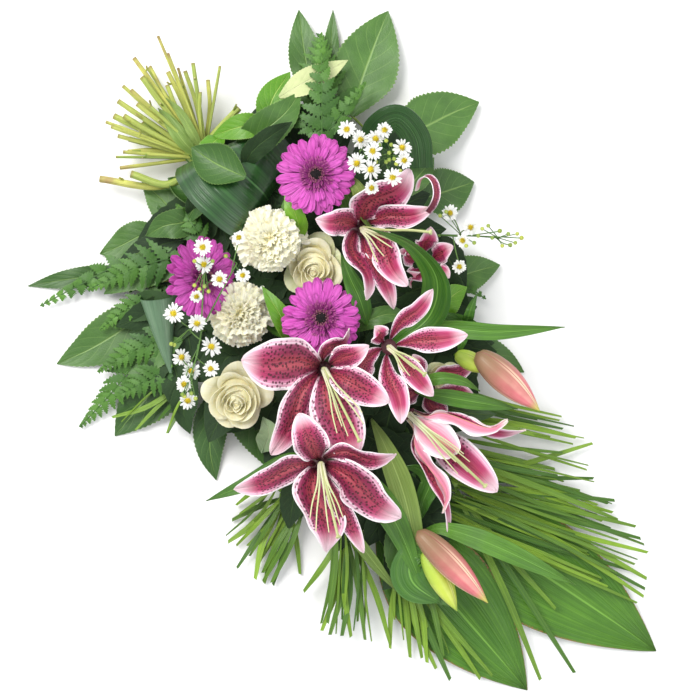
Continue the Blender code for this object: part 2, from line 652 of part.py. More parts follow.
def stamens(name):
    """The filaments, whose anthers are taken off, and the longer pistil, side by side on one ovary in the throat."""
    throat, foot_up, _, _ = LILIES[name]
    lift = lifts[name]
    seat = plan(*throat, foot_up + 9 + lift)
    tips = [plan(right, down, up + lift) for right, down, up in STAMENS[name]]
    mean = sum((tip - seat for tip in tips), Vector())
    ahead = Vector((mean.x, mean.y, 0)).normalized()
    aside = Vector((-ahead.y, ahead.x, 0))
    pistil = tips[-1]
    tips.sort(key=lambda tip: math.atan2((tip - seat).dot(aside), (tip - seat).dot(ahead)))
    bm = bmesh.new()

    def across(place, half_width, half_height):
        corners = ((-1, -1), (1, -1), (1, 1), (-1, 1))
        return [bm.verts.new(place + (aside * x * half_width + Vector((0, 0, y * half_height))) * MM)
                for x, y in corners]

    def sides(start, end):
        for k in range(4):
            bm.faces.new((start[k], start[(k + 1) % 4], end[(k + 1) % 4], end[k]))

    front = []
    for k in range(len(tips) + 1):
        post = seat + aside * (k - 0.5 * len(tips)) * FILAMENT_PITCH * MM
        front.append([bm.verts.new(post + Vector((0, 0, up * MM))) for up in (-1.0, 1.0)])
    back = [[bm.verts.new(low.co - ahead * 3 * MM), bm.verts.new(top.co - ahead * 3 * MM)]
            for low, top in (front[-1], front[0])]
    for k, tip in enumerate(tips):
        start = [front[k][0], front[k + 1][0], front[k + 1][1], front[k][1]]
        if tip == pistil:
            middle = across(seat.lerp(tip, 0.55) + Vector((0, 0, 3 * MM)), 1.0, 1.0)
            sides(start, middle)
            start = middle
        wide = 2.2 if tip == pistil else STALK_RADIUS
        end = across(tip, wide, 0.8 * wide)
        sides(start, end)
        bm.faces.new(end)
    bm.faces.new([pair[1] for pair in (*front, *back)])
    bm.faces.new((front[-1][0], front[-1][1], back[0][1], back[0][0]))
    bm.faces.new((back[0][0], back[0][1], back[1][1], back[1][0]))
    bm.faces.new((back[1][0], back[1][1], front[0][1], front[0][0]))
    rim = [pair[0] for pair in (*front, *back)]
    middle = sum((vert.co for vert in rim), Vector()) / len(rim)
    foot = [bm.verts.new(middle + (vert.co - middle) * 0.36 - Vector((0, 0, 0.2 * MM))) for vert in rim]
    for k in range(len(rim)):
        after = (k + 1) % len(rim)
        bm.faces.new((rim[k], rim[after], foot[after], foot[k]))
    bm.faces.new(foot)
    bm.verts.index_update()
    lowest = [vert.index for vert in foot]
    bmesh.ops.triangulate(bm, faces=bm.faces)
    bmesh.ops.recalc_face_normals(bm, faces=bm.faces)
    made = solid(bm)
    pile.lay(made)
    floor = topside(bpy.data.objects[name], seat) + SEAT_GAP * MM
    for k in lowest:
        made.data.vertices[k].co.z = floor
    pile.add(keep(name.replace("lily", "stamens"), made, FILAMENT))


def pin(middle, out, low, high, turn=None):
    """A slender pin that holds rings of petals together beside their middle."""
    foot, tip = Vector((out, 0.4 * out, low)), Vector((out, 0.4 * out, high))
    if turn:
        foot, tip = turn @ foot, turn @ tip
    return stalk(middle + foot * MM, middle + tip * MM, 1.6)


def gerbera(name, up, radius, tilt=(0.0, 0.0)):
    """Rays in two rows round a hub, with the dark disc as its own node on it."""
    middle = plan(*SEATS[name], up)
    turn = Matrix.Rotation(tilt[0], 3, Vector((math.cos(tilt[1]), math.sin(tilt[1]), 0)))
    pieces = [
        frill(middle, ((0, 0), (radius, 3)), 18, notch=0.36, turn=turn),
        frill(middle, ((0, 2.4), (0.72 * radius, 6.4)), 13, notch=0.4, turn=turn),
        pin(middle, 6, 0.1, 3.9, turn),
    ]
    node(name, pieces, MAGENTA, solver="MANIFOLD")
    centre = middle + turn @ Vector((0, 0, 7.4 * MM)) + Vector((0, 0, lifts[name] * MM))
    disc = ball(centre, (9.5, 9.5, 3.4), 9, 4, turn)
    node(name.replace("gerbera", "gerbera_disc"), [disc], DISC_DARK, settle=1.1 if tilt[0] else 0.3)


def carnation(name, up, radius):
    """Toothed and ruffled petals in five rings that stand out of a small core."""
    middle = plan(*SEATS[name], up)
    pieces = [pin(middle, 0.14 * radius, -8.9, 10.4)]
    rings = ((1.0, -6, 0, 9), (0.88, 2, 11, 8), (0.6, 10, 20, 6))
    for k, (reach, low, high, petals) in enumerate(rings):
        profile = ((0, low - 3), (0.6 * reach * radius, low + 2), (reach * radius, high))
        pieces.append(frill(middle, profile, petals, notch=0.14, ruffle=2.2, start=0.7 * k))
    node(name, pieces, IVORY, solver="MANIFOLD")


def rose(name, up, radius, height, rings=3, points=3):
    """Cups of petals one inside another round a closed heart."""
    middle = plan(*SEATS[name], up)
    pieces = [ball(middle + Vector((0, 0, 0.6 * height * MM)), (0.2 * radius, 0.2 * radius, 0.42 * height), 6, 4)]
    pieces.append(pin(middle, 0.12 * radius, -1.0, 0.4 * height))
    for k in range(rings):
        wide = radius * (1.0, 0.74, 0.48)[k]
        top = height * (0.55, 0.8, 0.96)[k]
        low = 2.0 * k
        profile = ((0, low), (0.78 * wide, low + 0.35 * top), (wide, top))
        pieces.append(frill(middle, profile, 4, points, notch=0.1, start=0.6 * k))
    node(name, pieces, CREAM, solver="MANIFOLD")


def bud(name, places, radius, look):
    """A closed lily bud: a ball drawn out along the line from its seat to its tip."""
    foot, tip = path(*places)
    way = tip - foot
    turn = Vector((0, 0, 1)).rotation_difference(way).to_matrix()
    bm = bmesh.new()
    bmesh.ops.create_uvsphere(bm, u_segments=6, v_segments=6, radius=1.0)
    for vert in bm.verts:
        along = 0.5 * (vert.co.z + 1)
        ridge = 1 + 0.09 * math.cos(3 * math.atan2(vert.co.y, vert.co.x))
        wide = radius * ridge * (1.12 - 0.34 * along)
        vert.co = foot + way * along + turn @ Vector((vert.co.x * wide, vert.co.y * wide, 0)) * MM
    bmesh.ops.triangulate(bm, faces=bm.faces)
    return node(name, [solid(bm)], look)


def daisy(root, middle, radius, turn):
    """One small daisy on its stalk: a star of rays that rises to its dome."""
    count, sides = 10, 3
    bm = bmesh.new()

    def ring(centre, number, up, *reaches):
        around = []
        for k in range(number):
            angle = math.tau * k / number
            reach = reaches[k % len(reaches)]
            place = Vector((math.cos(angle) * reach, math.sin(angle) * reach, up))
            around.append(bm.verts.new(centre + turn @ place * MM))
        return around

    crown = bm.verts.new(middle + turn @ Vector((0, 0, 2.6)) * MM)
    rim = ring(middle, count, 0.5, radius, 0.55 * radius)
    neck = ring(middle, sides, -1.2, 1.3 * STALK_RADIUS)
    foot = ring(root, sides, 0, STALK_RADIUS)
    for k in range(count):
        now, after = k * sides // count, (k + 1) * sides // count % sides
        bm.faces.new((crown, rim[k], rim[(k + 1) % count]))
        bm.faces.new((rim[(k + 1) % count], rim[k], neck[now]))
        if now != after:
            bm.faces.new((rim[(k + 1) % count], neck[now], neck[after]))
    for k in range(sides):
        bm.faces.new((neck[(k + 1) % sides], neck[k], foot[k], foot[(k + 1) % sides]))
    bm.faces.new(reversed(foot))
    bmesh.ops.triangulate(bm, faces=bm.faces)
    bmesh.ops.recalc_face_normals(bm, faces=bm.faces)
    return solid(bm)


def stalk(foot, tip, radius, sides=3):
    """A thin straight stalk."""
    way = tip - foot
    turn = Vector((0, 0, 1)).rotation_difference(way).to_matrix().to_4x4()
    bm = bmesh.new()
    place = Matrix.Translation(foot.lerp(tip, 0.5)) @ turn
    bmesh.ops.create_cone(bm, cap_ends=True, segments=sides, radius1=radius * MM, radius2=radius * MM,
                          depth=way.length, matrix=place)
    return solid(bm)


def daisies(name, heads, up, hubs):
    """A spray of daisies on thin stalks from a few forks, which one stem joins."""
    foot = plan(*SEATS[name], up - 34)
    pieces = [ball(foot, (2.6, 2.6, 2.6), 6, 3)]
    forks = []
    for hub in hubs:
        fork = plan(*hub, up - 20)
        forks.append((hub, fork))
        pieces.append(stalk(foot.lerp(fork, 0.03), fork, 1.7))
    for k, (right, down, radius) in enumerate(heads):
        hub, fork = min(forks, key=lambda item: (item[0][0] - right) ** 2 + (item[0][1] - down) ** 2)
        head = plan(right, down, up + rng.uniform(-5, 5))
        root = foot.lerp(fork, 0.96 - 0.13 * (k % 6))
        lean = Matrix.Rotation(rng.uniform(-0.35, 0.35), 3, "X") @ Matrix.Rotation(rng.uniform(-0.35, 0.35), 3, "Y")
        pieces.append(daisy(root, head, radius, lean @ Matrix.Rotation(rng.uniform(0, 0.8), 3, "Z")))
    return node(name, pieces, DAISY_WHITE)


def stem_slot(right, down, up, squeeze):
    """Where a stem from this place passes through the tie, packed into its round."""
    off = Vector((right - TIE_PLACE[0], down - TIE_PLACE[1]))
    sideways = (off.x - off.y) * 0.7071 * squeeze
    upwards = (up - TIE_PLACE[2]) * 0.6
    slot = Vector((sideways, upwards))
    most = TIE_CORE_RADIUS - STEM_RADIUS
    return slot * min(1.0, most / max(slot.length, 0.001))


def in_tie(slot, along):
    """A place this far along the bundle through the tie, at this slot of its round section."""
    right = TIE_PLACE[0] + (along + slot.x) * 0.7071
    down = TIE_PLACE[1] + (along - slot.x) * 0.7071
    return plan(right, down, TIE_PLACE[2] + slot.y)


def cut_stems():
    pieces = []
    for k, (right, down, up) in enumerate(CUT_ENDS):
        slot = stem_slot(right, down, up, 0.17)
        tip = plan(right, down, up)
        neck = in_tie(slot, -0.8 * TIE_WIDTH)
        wide = STEM_RADIUS * rng.uniform(0.85, 1.15)
        root = neck + (neck - tip).normalized() * 12 * MM
        if k % 3:
            pieces.append(stalk(root, tip, 1.15 * wide, 4))
        else:
            bow = neck.lerp(tip, 0.55) + Vector((0, 0, rng.uniform(-2, 3) * MM))
            pieces.append(tube([root, bow, tip], [wide, wide, wide * 1.1], 4))
    return pieces


def stem_routes():
    """Each stem's route from the tie: to its fork and on to its seats, or straight to its one seat."""
    routes = []
    forked = {seat for _, seats in STEMS.values() for seat in seats}
    ends = [(fork, None) for fork, _ in STEMS.values()]
    ends += [(place, name) for name, place in SEATS.items() if name not in forked]
    for k, ((right, down), seat) in enumerate(ends):
        slot = stem_slot(right, down, 26 + 14 * math.sin(2.4 * k), 0.1)
        wide = 1.4 if seat and "daisies" in seat else STEM_RADIUS
        routes.append((seat, [in_tie(slot, TIE_WIDTH), plan(right, down, RUN_UP)], wide))
    for fork, seats in STEMS.values():
        for seat in seats:
            routes.append((seat, [plan(*fork, RUN_UP), plan(*SEATS[seat], RUN_UP)], 0.9 * STEM_RADIUS))
    return routes


def stems_up_to_heads():
    """The same stems with their last stretch up to the underside of each head."""
    pieces = []
    for seat, route, wide in stem_routes():
        if seat:
            spot = plan(*SEATS[seat], PLAN_HEIGHT)
            top = underside(bpy.data.objects[seat], spot) - SEAT_GAP * MM
            if top > (RUN_UP + 3) * MM:
                route = [*route[:-1], Vector((spot.x, spot.y, RUN_UP * MM)), Vector((spot.x, spot.y, top))]
        pieces.append(tube(route, wide))
    return pieces


def underside(made, spot, reach=3.0):
    """The lowest point of the node near this place."""
    points = samples_of(made)
    away = np.linalg.norm(points[:, :2] - np.array(spot[:2]), axis=1)
    near = away < max(reach * MM, away.min() + 2 * MM)
    return float(points[near, 2].min())


def topside(made, spot, reach=2.5):
    """The highest point of the node near this place."""
    points = samples_of(made)
    near = np.linalg.norm(points[:, :2] - np.array(spot[:2]), axis=1) < reach * MM
    return float(points[near, 2].max())


def foliage_stem(start, end):
    """A stem from a fork of the stems down to the foot of a leaf or frond at the back, which it lies on."""
    high_end, low_end = plan(*start, PLAN_HEIGHT), plan(*end, 0)
    high_end.z = RUN_UP * MM
    low_end.z = MM * (pile.height_at(low_end) + PILE_GAP + 0.7 * FOLIAGE_STEM_RADIUS)
    piece = tube([high_end, high_end.lerp(low_end, 0.35), high_end.lerp(low_end, 0.7), low_end], FOLIAGE_STEM_RADIUS)
    pile.lay(piece)
    pile.add(piece)
    stem_pieces.append(piece)


def stem_leaf(seat, places, half, **shape):
    """A leaf of a lily stem, from the riser at this seat, laid on the pile and fused with the stems later."""
    right, down = SEATS[seat]
    leaf = blade(path((right, down, places[0][2]), *places[1:]), half, cols=2, fold=0.15, **shape)
    pile.lay(flattened(leaf))
    pile.add(leaf)
    stem_pieces.append(leaf)


def tie():
    """The raffia round the stems, a band with ridges of its turns, and its knot."""
    bm = bmesh.new()
    sides, rings = 10, 3
    bmesh.ops.create_grid(bm, x_segments=sides, y_segments=rings, size=1.0)
    for vert in bm.verts:
        angle = math.pi * vert.co.x
        k = round(0.5 * (vert.co.y + 1) * rings)
        wide = TIE_RADIUS - 1.4 + 1.0 * (k % 2)
        along = vert.co.y * 0.5 * TIE_WIDTH
        slot = Vector((math.cos(angle) * wide, math.sin(angle) * wide))
        vert.co = in_tie(slot, along)
    bmesh.ops.remove_doubles(bm, verts=bm.verts, dist=1e-6)
    bmesh.ops.triangulate(bm, faces=bm.faces)
    bmesh.ops.recalc_face_normals(bm, faces=bm.faces)
    band = solid(bm, 1.6)
    knot = ball(in_tie(Vector((0, TIE_RADIUS + 1)), 0), (5, 3.5, 3), 6, 3)
    pile.add(keep("tie", union([band, knot]), RAFFIA))


stem_pieces = []

for leaf_name in TI_LEAVES:
    ti_leaf(leaf_name)
for sprig_name in SALAL_SPRIGS:
    salal_sprig(sprig_name)
palm("palm_right", (452, 484), PALM_RIGHT_TIPS)
palm("palm_bottom", (400, 560), PALM_BOTTOM_TIPS)
palm("palm_middle", (346, 528), PALM_MIDDLE_TIPS)
palm("palm_left", (286, 496), PALM_LEFT_TIPS)
palm("palm_left_small", (186, 382), PALM_SMALL_TIPS)
for fern_name in FERNS:
    fern(fern_name)

for start, end in FOLIAGE_STEMS:
    foliage_stem(start, end)
for _, stem_route, stem_wide in stem_routes():
    run = tube(stem_route, stem_wide)
    pile.add(run)
    bpy.data.objects.remove(run)
tie()

# The collar, the looped and rolled aspidistra leaves and the first leaves over the stems
node("collar_dark_roll", [salal_leaf(((208, 206, 34), (190, 193, 38), (168, 178, 30)), 17, curl=1.2)], GREEN)
node("aspidistra_loop", [blade(path((222, 148, 38), (226, 156, 58), (243, 174, 72), (262, 192, 60), (268, 200, 40)),
                               58, rows=7, cols=3, outline=loop_outline, wave=0.8)], DARK_GREEN)
node("aspidistra_cone", [blade(path((168, 366, 34), (164, 340, 40), (158, 300, 50)), 52, rows=3, cols=7,
                               outline=cone_outline, curl=2.5, roll=math.pi)], DARK_GREEN)
node("aspidistra_right", [blade(path((372, 148, 44), (378, 128, 64), (398, 118, 72), (416, 138, 62), (420, 168, 46)),
                                15, rows=7, cols=2, outline=loop_outline)], DARK_GREEN)
node("collar_sprig", [
    salal_leaf(((272, 126, 50), (244, 126, 58), (212, 136, 44)), 13),
    salal_leaf(((266, 128, 50), (272, 100, 54), (290, 72, 44)), 15),
], GREEN)
node("collar_grey", [salal_leaf(((246, 178, 78), (216, 164, 62), (192, 148, 50)), 23, curl=0.5)], GREEN,
     settle=0.7)
node("cream_leaf", [salal_leaf(((280, 100, 30), (312, 80, 36), (348, 60, 32)), 13)], GREEN, settle=0.7)

stem_leaf("gerbera_top", ((0, 0, 52), (308, 190, 56), (290, 212, 58), (306, 226, 52)), 12, rows=4)
stem_leaf("gerbera_middle", ((0, 0, 44), (300, 322, 46), (276, 318, 50), (262, 292, 58)), 17, rows=3)
stem_leaf("lily_a", ((0, 0, 54), (354, 206, 60), (346, 190, 62), (352, 170, 58)), 12, rows=3)
stem_leaf("lily_d", ((0, 0, 44), (420, 334, 50), (456, 324, 50), (492, 334, 44)), 13, rows=3)
stem_leaf("lily_d", ((0, 0, 58), (440, 330, 66), (500, 332, 74), (565, 327, 70)), 9, rows=4)
stem_leaf("lily_f", ((0, 0, 30), (462, 398, 40), (490, 404, 44), (518, 409, 40)), 8, rows=3)
stem_leaf("bud_green_right", ((0, 0, 40), (466, 322, 44), (470, 308, 44), (476, 294, 38)), 6, rows=3)

rose("rose_hidden", 34, 17, 22, rings=1, points=2)
rose("rose_middle", 40, 34, 34)
rose("rose_left", 42, 33, 34)
carnation("carnation_upper", 62, 32)
carnation("carnation_lower", 62, 32)
gerbera("gerbera_left", 60, 40, tilt=(math.radians(34), math.radians(140)))
gerbera("gerbera_middle", 84, 39)
gerbera("gerbera_top", 92, 39)
for lily_name in ("lily_g", "lily_f", "lily_e"):
    lily(lily_name)
stamens("lily_e")
stem_leaf("lily_c", ((0, 0, 50), (360, 480, 56), (394, 520, 56), (423, 588, 44)), 14, rows=5)
stem_leaf("bud_pink_lower", ((0, 0, 36), (446, 528, 44), (500, 548, 44), (576, 585, 32)), 11, rows=5)
stem_leaf("bud_green_lower", ((0, 0, 28), (410, 556, 32), (412, 580, 30), (440, 602, 24)), 20, rows=3)
stem_leaf("lily_c", ((0, 0, 44), (290, 460, 56), (250, 482, 54), (206, 501, 44)), 9, rows=4)
bud("bud_green_lower", ((424, 550, 50), (457, 611, 52)), 11, BUD_GREEN)
bud("bud_pink_lower", ((417, 531, 72), (488, 603, 74)), 13, BUD_PINK)
bud("bud_green_right", ((455, 354, 74), (491, 372, 76)), 9, BUD_GREEN)
bud("bud_pink_right", ((476, 353, 88), (540, 411, 86)), 14, BUD_PINK)
lily("lily_a")
stamens("lily_a")
stem_leaf("lily_d", ((0, 0, 46), (428, 318, 62), (437, 280, 100), (412, 246, 126), (368, 228, 120)), 17, rows=7)
for lily_name in ("lily_d", "lily_b", "lily_c"):
    lily(lily_name)
    stamens(lily_name)
DAISIES_UPPER = (
    (347, 130, 9), (360, 140, 9), (376, 139, 9), (384, 131, 8), (373, 152, 9), (357, 164, 10), (370, 171, 10),
    (402, 148, 9), (404, 162, 8), (392, 180, 9), (371, 189, 7),
)
DAISIES_LEFT = (
    (203, 248, 9), (204, 265, 9), (221, 280, 8), (199, 297, 6), (175, 314, 10),
    (199, 323, 9), (212, 346, 10), (181, 357, 9), (191, 370, 9), (211, 369, 8), (184, 384, 8),
    (188, 400, 9), (243, 276, 7), (239, 238, 7),
)
DAISIES_RIGHT = (
    (450, 213, 8), (471, 227, 8), (462, 241, 7), (460, 267, 7), (500, 231, 4), (522, 238, 4), (510, 245, 4),
)
daisies("daisies_upper", DAISIES_UPPER, 104, ((362, 150), (392, 156)))
daisies("daisies_left", DAISIES_LEFT, 106, ((206, 268), (190, 330), (192, 376), (238, 264)))
daisies("daisies_right", DAISIES_RIGHT, 84, ((462, 236), (498, 238)))


middle_slot = Vector((0, 0))
core = stalk(in_tie(middle_slot, -TIE_CORE_RADIUS), in_tie(middle_slot, TIE_CORE_RADIUS), TIE_CORE_RADIUS, 9)
bundle = union([core, *cut_stems(), *stems_up_to_heads(), *stem_pieces], solver="MANIFOLD")
keep("stem_bundle", bundle, STEM_GREEN)

corners = np.concatenate([points_of(made) for made in sheaf.objects if made.type == "MESH"])
low, high = corners.min(axis=0), corners.max(axis=0)
anchor.location = (-0.5 * (low[0] + high[0]), -0.5 * (low[1] + high[1]), -low[2])
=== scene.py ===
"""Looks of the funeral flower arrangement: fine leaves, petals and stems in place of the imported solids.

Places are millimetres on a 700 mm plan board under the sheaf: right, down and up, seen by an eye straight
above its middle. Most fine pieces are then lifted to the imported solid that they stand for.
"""

import math
import random
from functools import partial

import bpy
import numpy as np
from mathutils import Matrix, Vector
from mathutils.bvhtree import BVHTree


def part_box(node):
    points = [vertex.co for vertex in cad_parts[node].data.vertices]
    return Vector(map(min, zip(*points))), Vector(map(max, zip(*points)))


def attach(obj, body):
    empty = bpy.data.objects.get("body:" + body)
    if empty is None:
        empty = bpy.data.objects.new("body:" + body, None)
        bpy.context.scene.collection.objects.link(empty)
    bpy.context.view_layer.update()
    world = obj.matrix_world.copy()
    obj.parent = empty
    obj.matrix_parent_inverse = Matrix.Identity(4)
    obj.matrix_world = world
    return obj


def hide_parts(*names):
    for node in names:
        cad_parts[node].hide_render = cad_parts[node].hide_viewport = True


MM = 0.001
BOARD_MIDDLE = 350.0
BOARD_SIDE = 700.0
EYE_HEIGHT = 2200.0
PLAN_HEIGHT = 60.0
LAY_ANGLE = math.radians(49.5)
BOARD_SHIFT = Vector((-0.035078, -0.001779, -0.000856))
GOLDEN_TURN = 2.39996

LEAF_WALL = 0.5
PETAL_WALL = 0.6
STEM_RADIUS = 2.6
STALK_RADIUS = 0.6
FOLIAGE_STEM_RADIUS = 1.8
RUN_UP = 27.0
SEAT_DEPTH = 4.5
PALM_UP = 9
TIE_PLACE = (205.0, 158.0, 26.0)
TIE_RADIUS = 22.0
TIE_CORE_RADIUS = 17.0
TIE_WIDTH = 13.0
BUNDLE_SLANT = 0.7071
CREASE = math.radians(50)

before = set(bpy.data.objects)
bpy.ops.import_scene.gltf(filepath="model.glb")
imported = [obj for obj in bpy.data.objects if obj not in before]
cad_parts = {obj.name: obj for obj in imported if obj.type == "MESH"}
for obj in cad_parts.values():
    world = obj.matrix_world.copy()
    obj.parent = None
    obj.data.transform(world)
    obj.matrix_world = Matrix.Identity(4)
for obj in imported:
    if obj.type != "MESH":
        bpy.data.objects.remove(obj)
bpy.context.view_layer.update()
rng = random.Random(11)
sheaf_rng = random.Random(7)


def plan(right, down, up):
    """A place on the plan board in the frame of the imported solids, in metres."""
    scale = (EYE_HEIGHT - up) / (EYE_HEIGHT - PLAN_HEIGHT)
    flat = Vector(((right - BOARD_MIDDLE) * scale, (BOARD_MIDDLE - down) * scale, up))
    return (Matrix.Rotation(LAY_ANGLE, 3, "Z") @ flat) * MM + BOARD_SHIFT


def path(*places):
    return [plan(*place) for place in places]


def up_by(height):
    return Vector((0, 0, height * MM))


def column(foot, heights, turn=Matrix.Identity(3)):
    """Places at these heights above a foot, along its axis."""
    return [foot + turn @ up_by(height) for height in heights]


def smooth_path(points, steps=8):
    """Points along a Catmull-Rom curve."""
    ends = [points[0] * 2 - points[1], *points, points[-1] * 2 - points[-2]]
    fine = [points[0]]
    for a, b, c, d in zip(ends, ends[1:], ends[2:], ends[3:]):
        for k in range(1, steps + 1):
            t = k / steps
            fine.append(0.5 * (2 * b + (c - a) * t + (2 * a - 5 * b + 4 * c - d) * t * t
                               + (3 * b - a - 3 * c + d) * t ** 3))
    return fine


def stations(points, count):
    """Places at even steps along the smooth path, and the way it runs at each."""
    fine = smooth_path(points)
    lengths = [0.0]
    for a, b in zip(fine, fine[1:]):
        lengths.append(lengths[-1] + (b - a).length)
    places = []
    i = 0
    for k in range(count + 1):
        want = lengths[-1] * k / count
        while i < len(lengths) - 2 and lengths[i + 1] <= want:
            i += 1
        share = (want - lengths[i]) / max(lengths[i + 1] - lengths[i], 1e-12)
        places.append(fine[i].lerp(fine[i + 1], min(share, 1.0)))
    tangents = [(places[min(k + 1, count)] - places[max(k - 1, 0)]).normalized() for k in range(count + 1)]
    return places, tangents


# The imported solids, which the fine pieces are fitted to

trees = {}


def solid_of(name):
    """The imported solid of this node, to be asked for its nearest point."""
    if name not in trees:
        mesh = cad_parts[name].data
        points = [vert.co.copy() for vert in mesh.vertices]
        trees[name] = BVHTree.FromPolygons(points, [tuple(face.vertices) for face in mesh.polygons])
    return trees[name]


def lift_of(name, point, prior=0.0, low=-2.0, high=70.0, pull=0.03):
    """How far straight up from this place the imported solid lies, in millimetres."""
    solid = solid_of(name)
    best, found = 1e9, prior
    lift = low
    while lift <= high:
        away = solid.find_nearest(point + up_by(lift))[3] / MM
        cost = away + pull * abs(lift - prior)
        if cost < best:
            best, found = cost, lift
        lift += 1.0
    return found


def settle(name, grid, reach=9.0):
    """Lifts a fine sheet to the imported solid: first along its middle, then across it."""
    rows, cols = grid.shape[0] - 1, grid.shape[1] - 1
    picks = np.unique(np.linspace(0, rows, 11).round().astype(int))
    middle = [lift_of(name, Vector(grid[k, cols // 2])) for k in picks]
    spread = np.median(middle)
    middle = [m if abs(m - spread) < 22 else spread for m in middle]
    across = np.unique(np.linspace(0, cols, 5).round().astype(int))
    field = np.zeros((len(picks), len(across)))
    for i, k in enumerate(picks):
        prior = middle[i]
        for j, c in enumerate(across):
            field[i, j] = lift_of(name, Vector(grid[k, c]), prior, prior - reach, prior + reach, 0.2)
    padded = np.pad(field, 1, mode="edge")
    field = sum(padded[i:i + field.shape[0], j:j + field.shape[1]] * w
                for i, j, w in ((1, 1, 0.4), (0, 1, 0.2), (2, 1, 0.2), (1, 0, 0.1), (1, 2, 0.1)))
    by_row = np.array([np.interp(np.arange(rows + 1), picks, field[:, j]) for j in range(len(across))])
    full = np.array([np.interp(np.arange(cols + 1), across, by_row[:, k]) for k in range(rows + 1)])
    grid[:, :, 2] += full * MM
    return grid


def leaf_outline(t, widest=0.42, root=0.12, point=0.9):
    if t < widest:
        return root + (1 - root) * math.sin(0.5 * math.pi * t / widest)
    return math.cos(0.5 * math.pi * (t - widest) / (1 - widest)) ** point


def strip_outline(t):
    return min(1.0, 0.3 + 2.2 * t, 1.9 - 1.4 * t)


def loop_outline(t):
    return 0.86 + 0.14 * math.sin(math.pi * t)


def cone_outline(t):
    return 0.06 + 0.94 * t


def tepal_outline(t):
    if t < 0.55:
        return 0.09 + 0.91 * math.sin(0.5 * math.pi * t / 0.55) ** 2
    return math.cos(0.5 * math.pi * (t - 0.55) / 0.45) ** 0.6


def blade(points, half_width, rows=40, cols=10, outline=leaf_outline, fold=0.0, curl=0.0, wave=0.0, waves=3.0,
          teeth=0.0, roll=0.0, twist=0.0, groove=0.0, hook=0.0, frill=0.0, fringe=0.0, cut=0.0,
          face=(0, 0, 1)):
    """The grid of a leaf or petal along a path, folded, curled, waved at its edges and toothed.

    A frill waves the end more and more towards its rim, a fringe cuts teeth into that rim, and a cut
    slants it.
    """
    places, tangents = stations(points, rows)
    grid = np.zeros((rows + 1, cols + 1, 3))
    normal = Vector(face)
    phase = rng.uniform(0, 1)
    for k in range(rows + 1):
        along, tangent = k / rows, tangents[k]
        normal = (normal - tangent * normal.dot(tangent)).normalized()
        turn = Matrix.Rotation(roll + twist * along, 3, tangent)
        up, side = turn @ normal, turn @ normal.cross(tangent)
        half = max(0.35, half_width * outline(along))
        swell = math.sin(math.pi * min(1.0, along * 1.1)) ** 0.7 if along < 0.9 else 0.6
        for c in range(cols + 1):
            across = 2 * c / cols - 1
            shift, height = across, 0.0
            if curl:
                shift = math.sin(across * curl) / curl
                height = (1 - math.cos(across * curl)) / curl * half
            if teeth and abs(across) > 0.99:
                shift *= 1 + teeth * (2 * (k % 2) - 1)
            height += fold * abs(across) * half
            turned = waves * along + phase + (0.37 if across > 0 else 0)
            height += wave * swell * across * across * math.sin(math.tau * turned)
            height -= groove * math.exp(-(across * 5) ** 2) * swell
            height -= hook * max(0.0, along - 0.8) ** 2 * 25
            height += frill * along ** 2 * math.sin(9.4 * across + math.tau * phase)
            ahead = fringe * along ** 4 * (2 * (c % 2) - 1) - 0.25 * frill * along * across * across
            ahead += cut * half * across * along ** 6
            place = places[k] + (side * shift * half + up * height + tangent * ahead) * MM
            grid[k, c] = place
    return grid


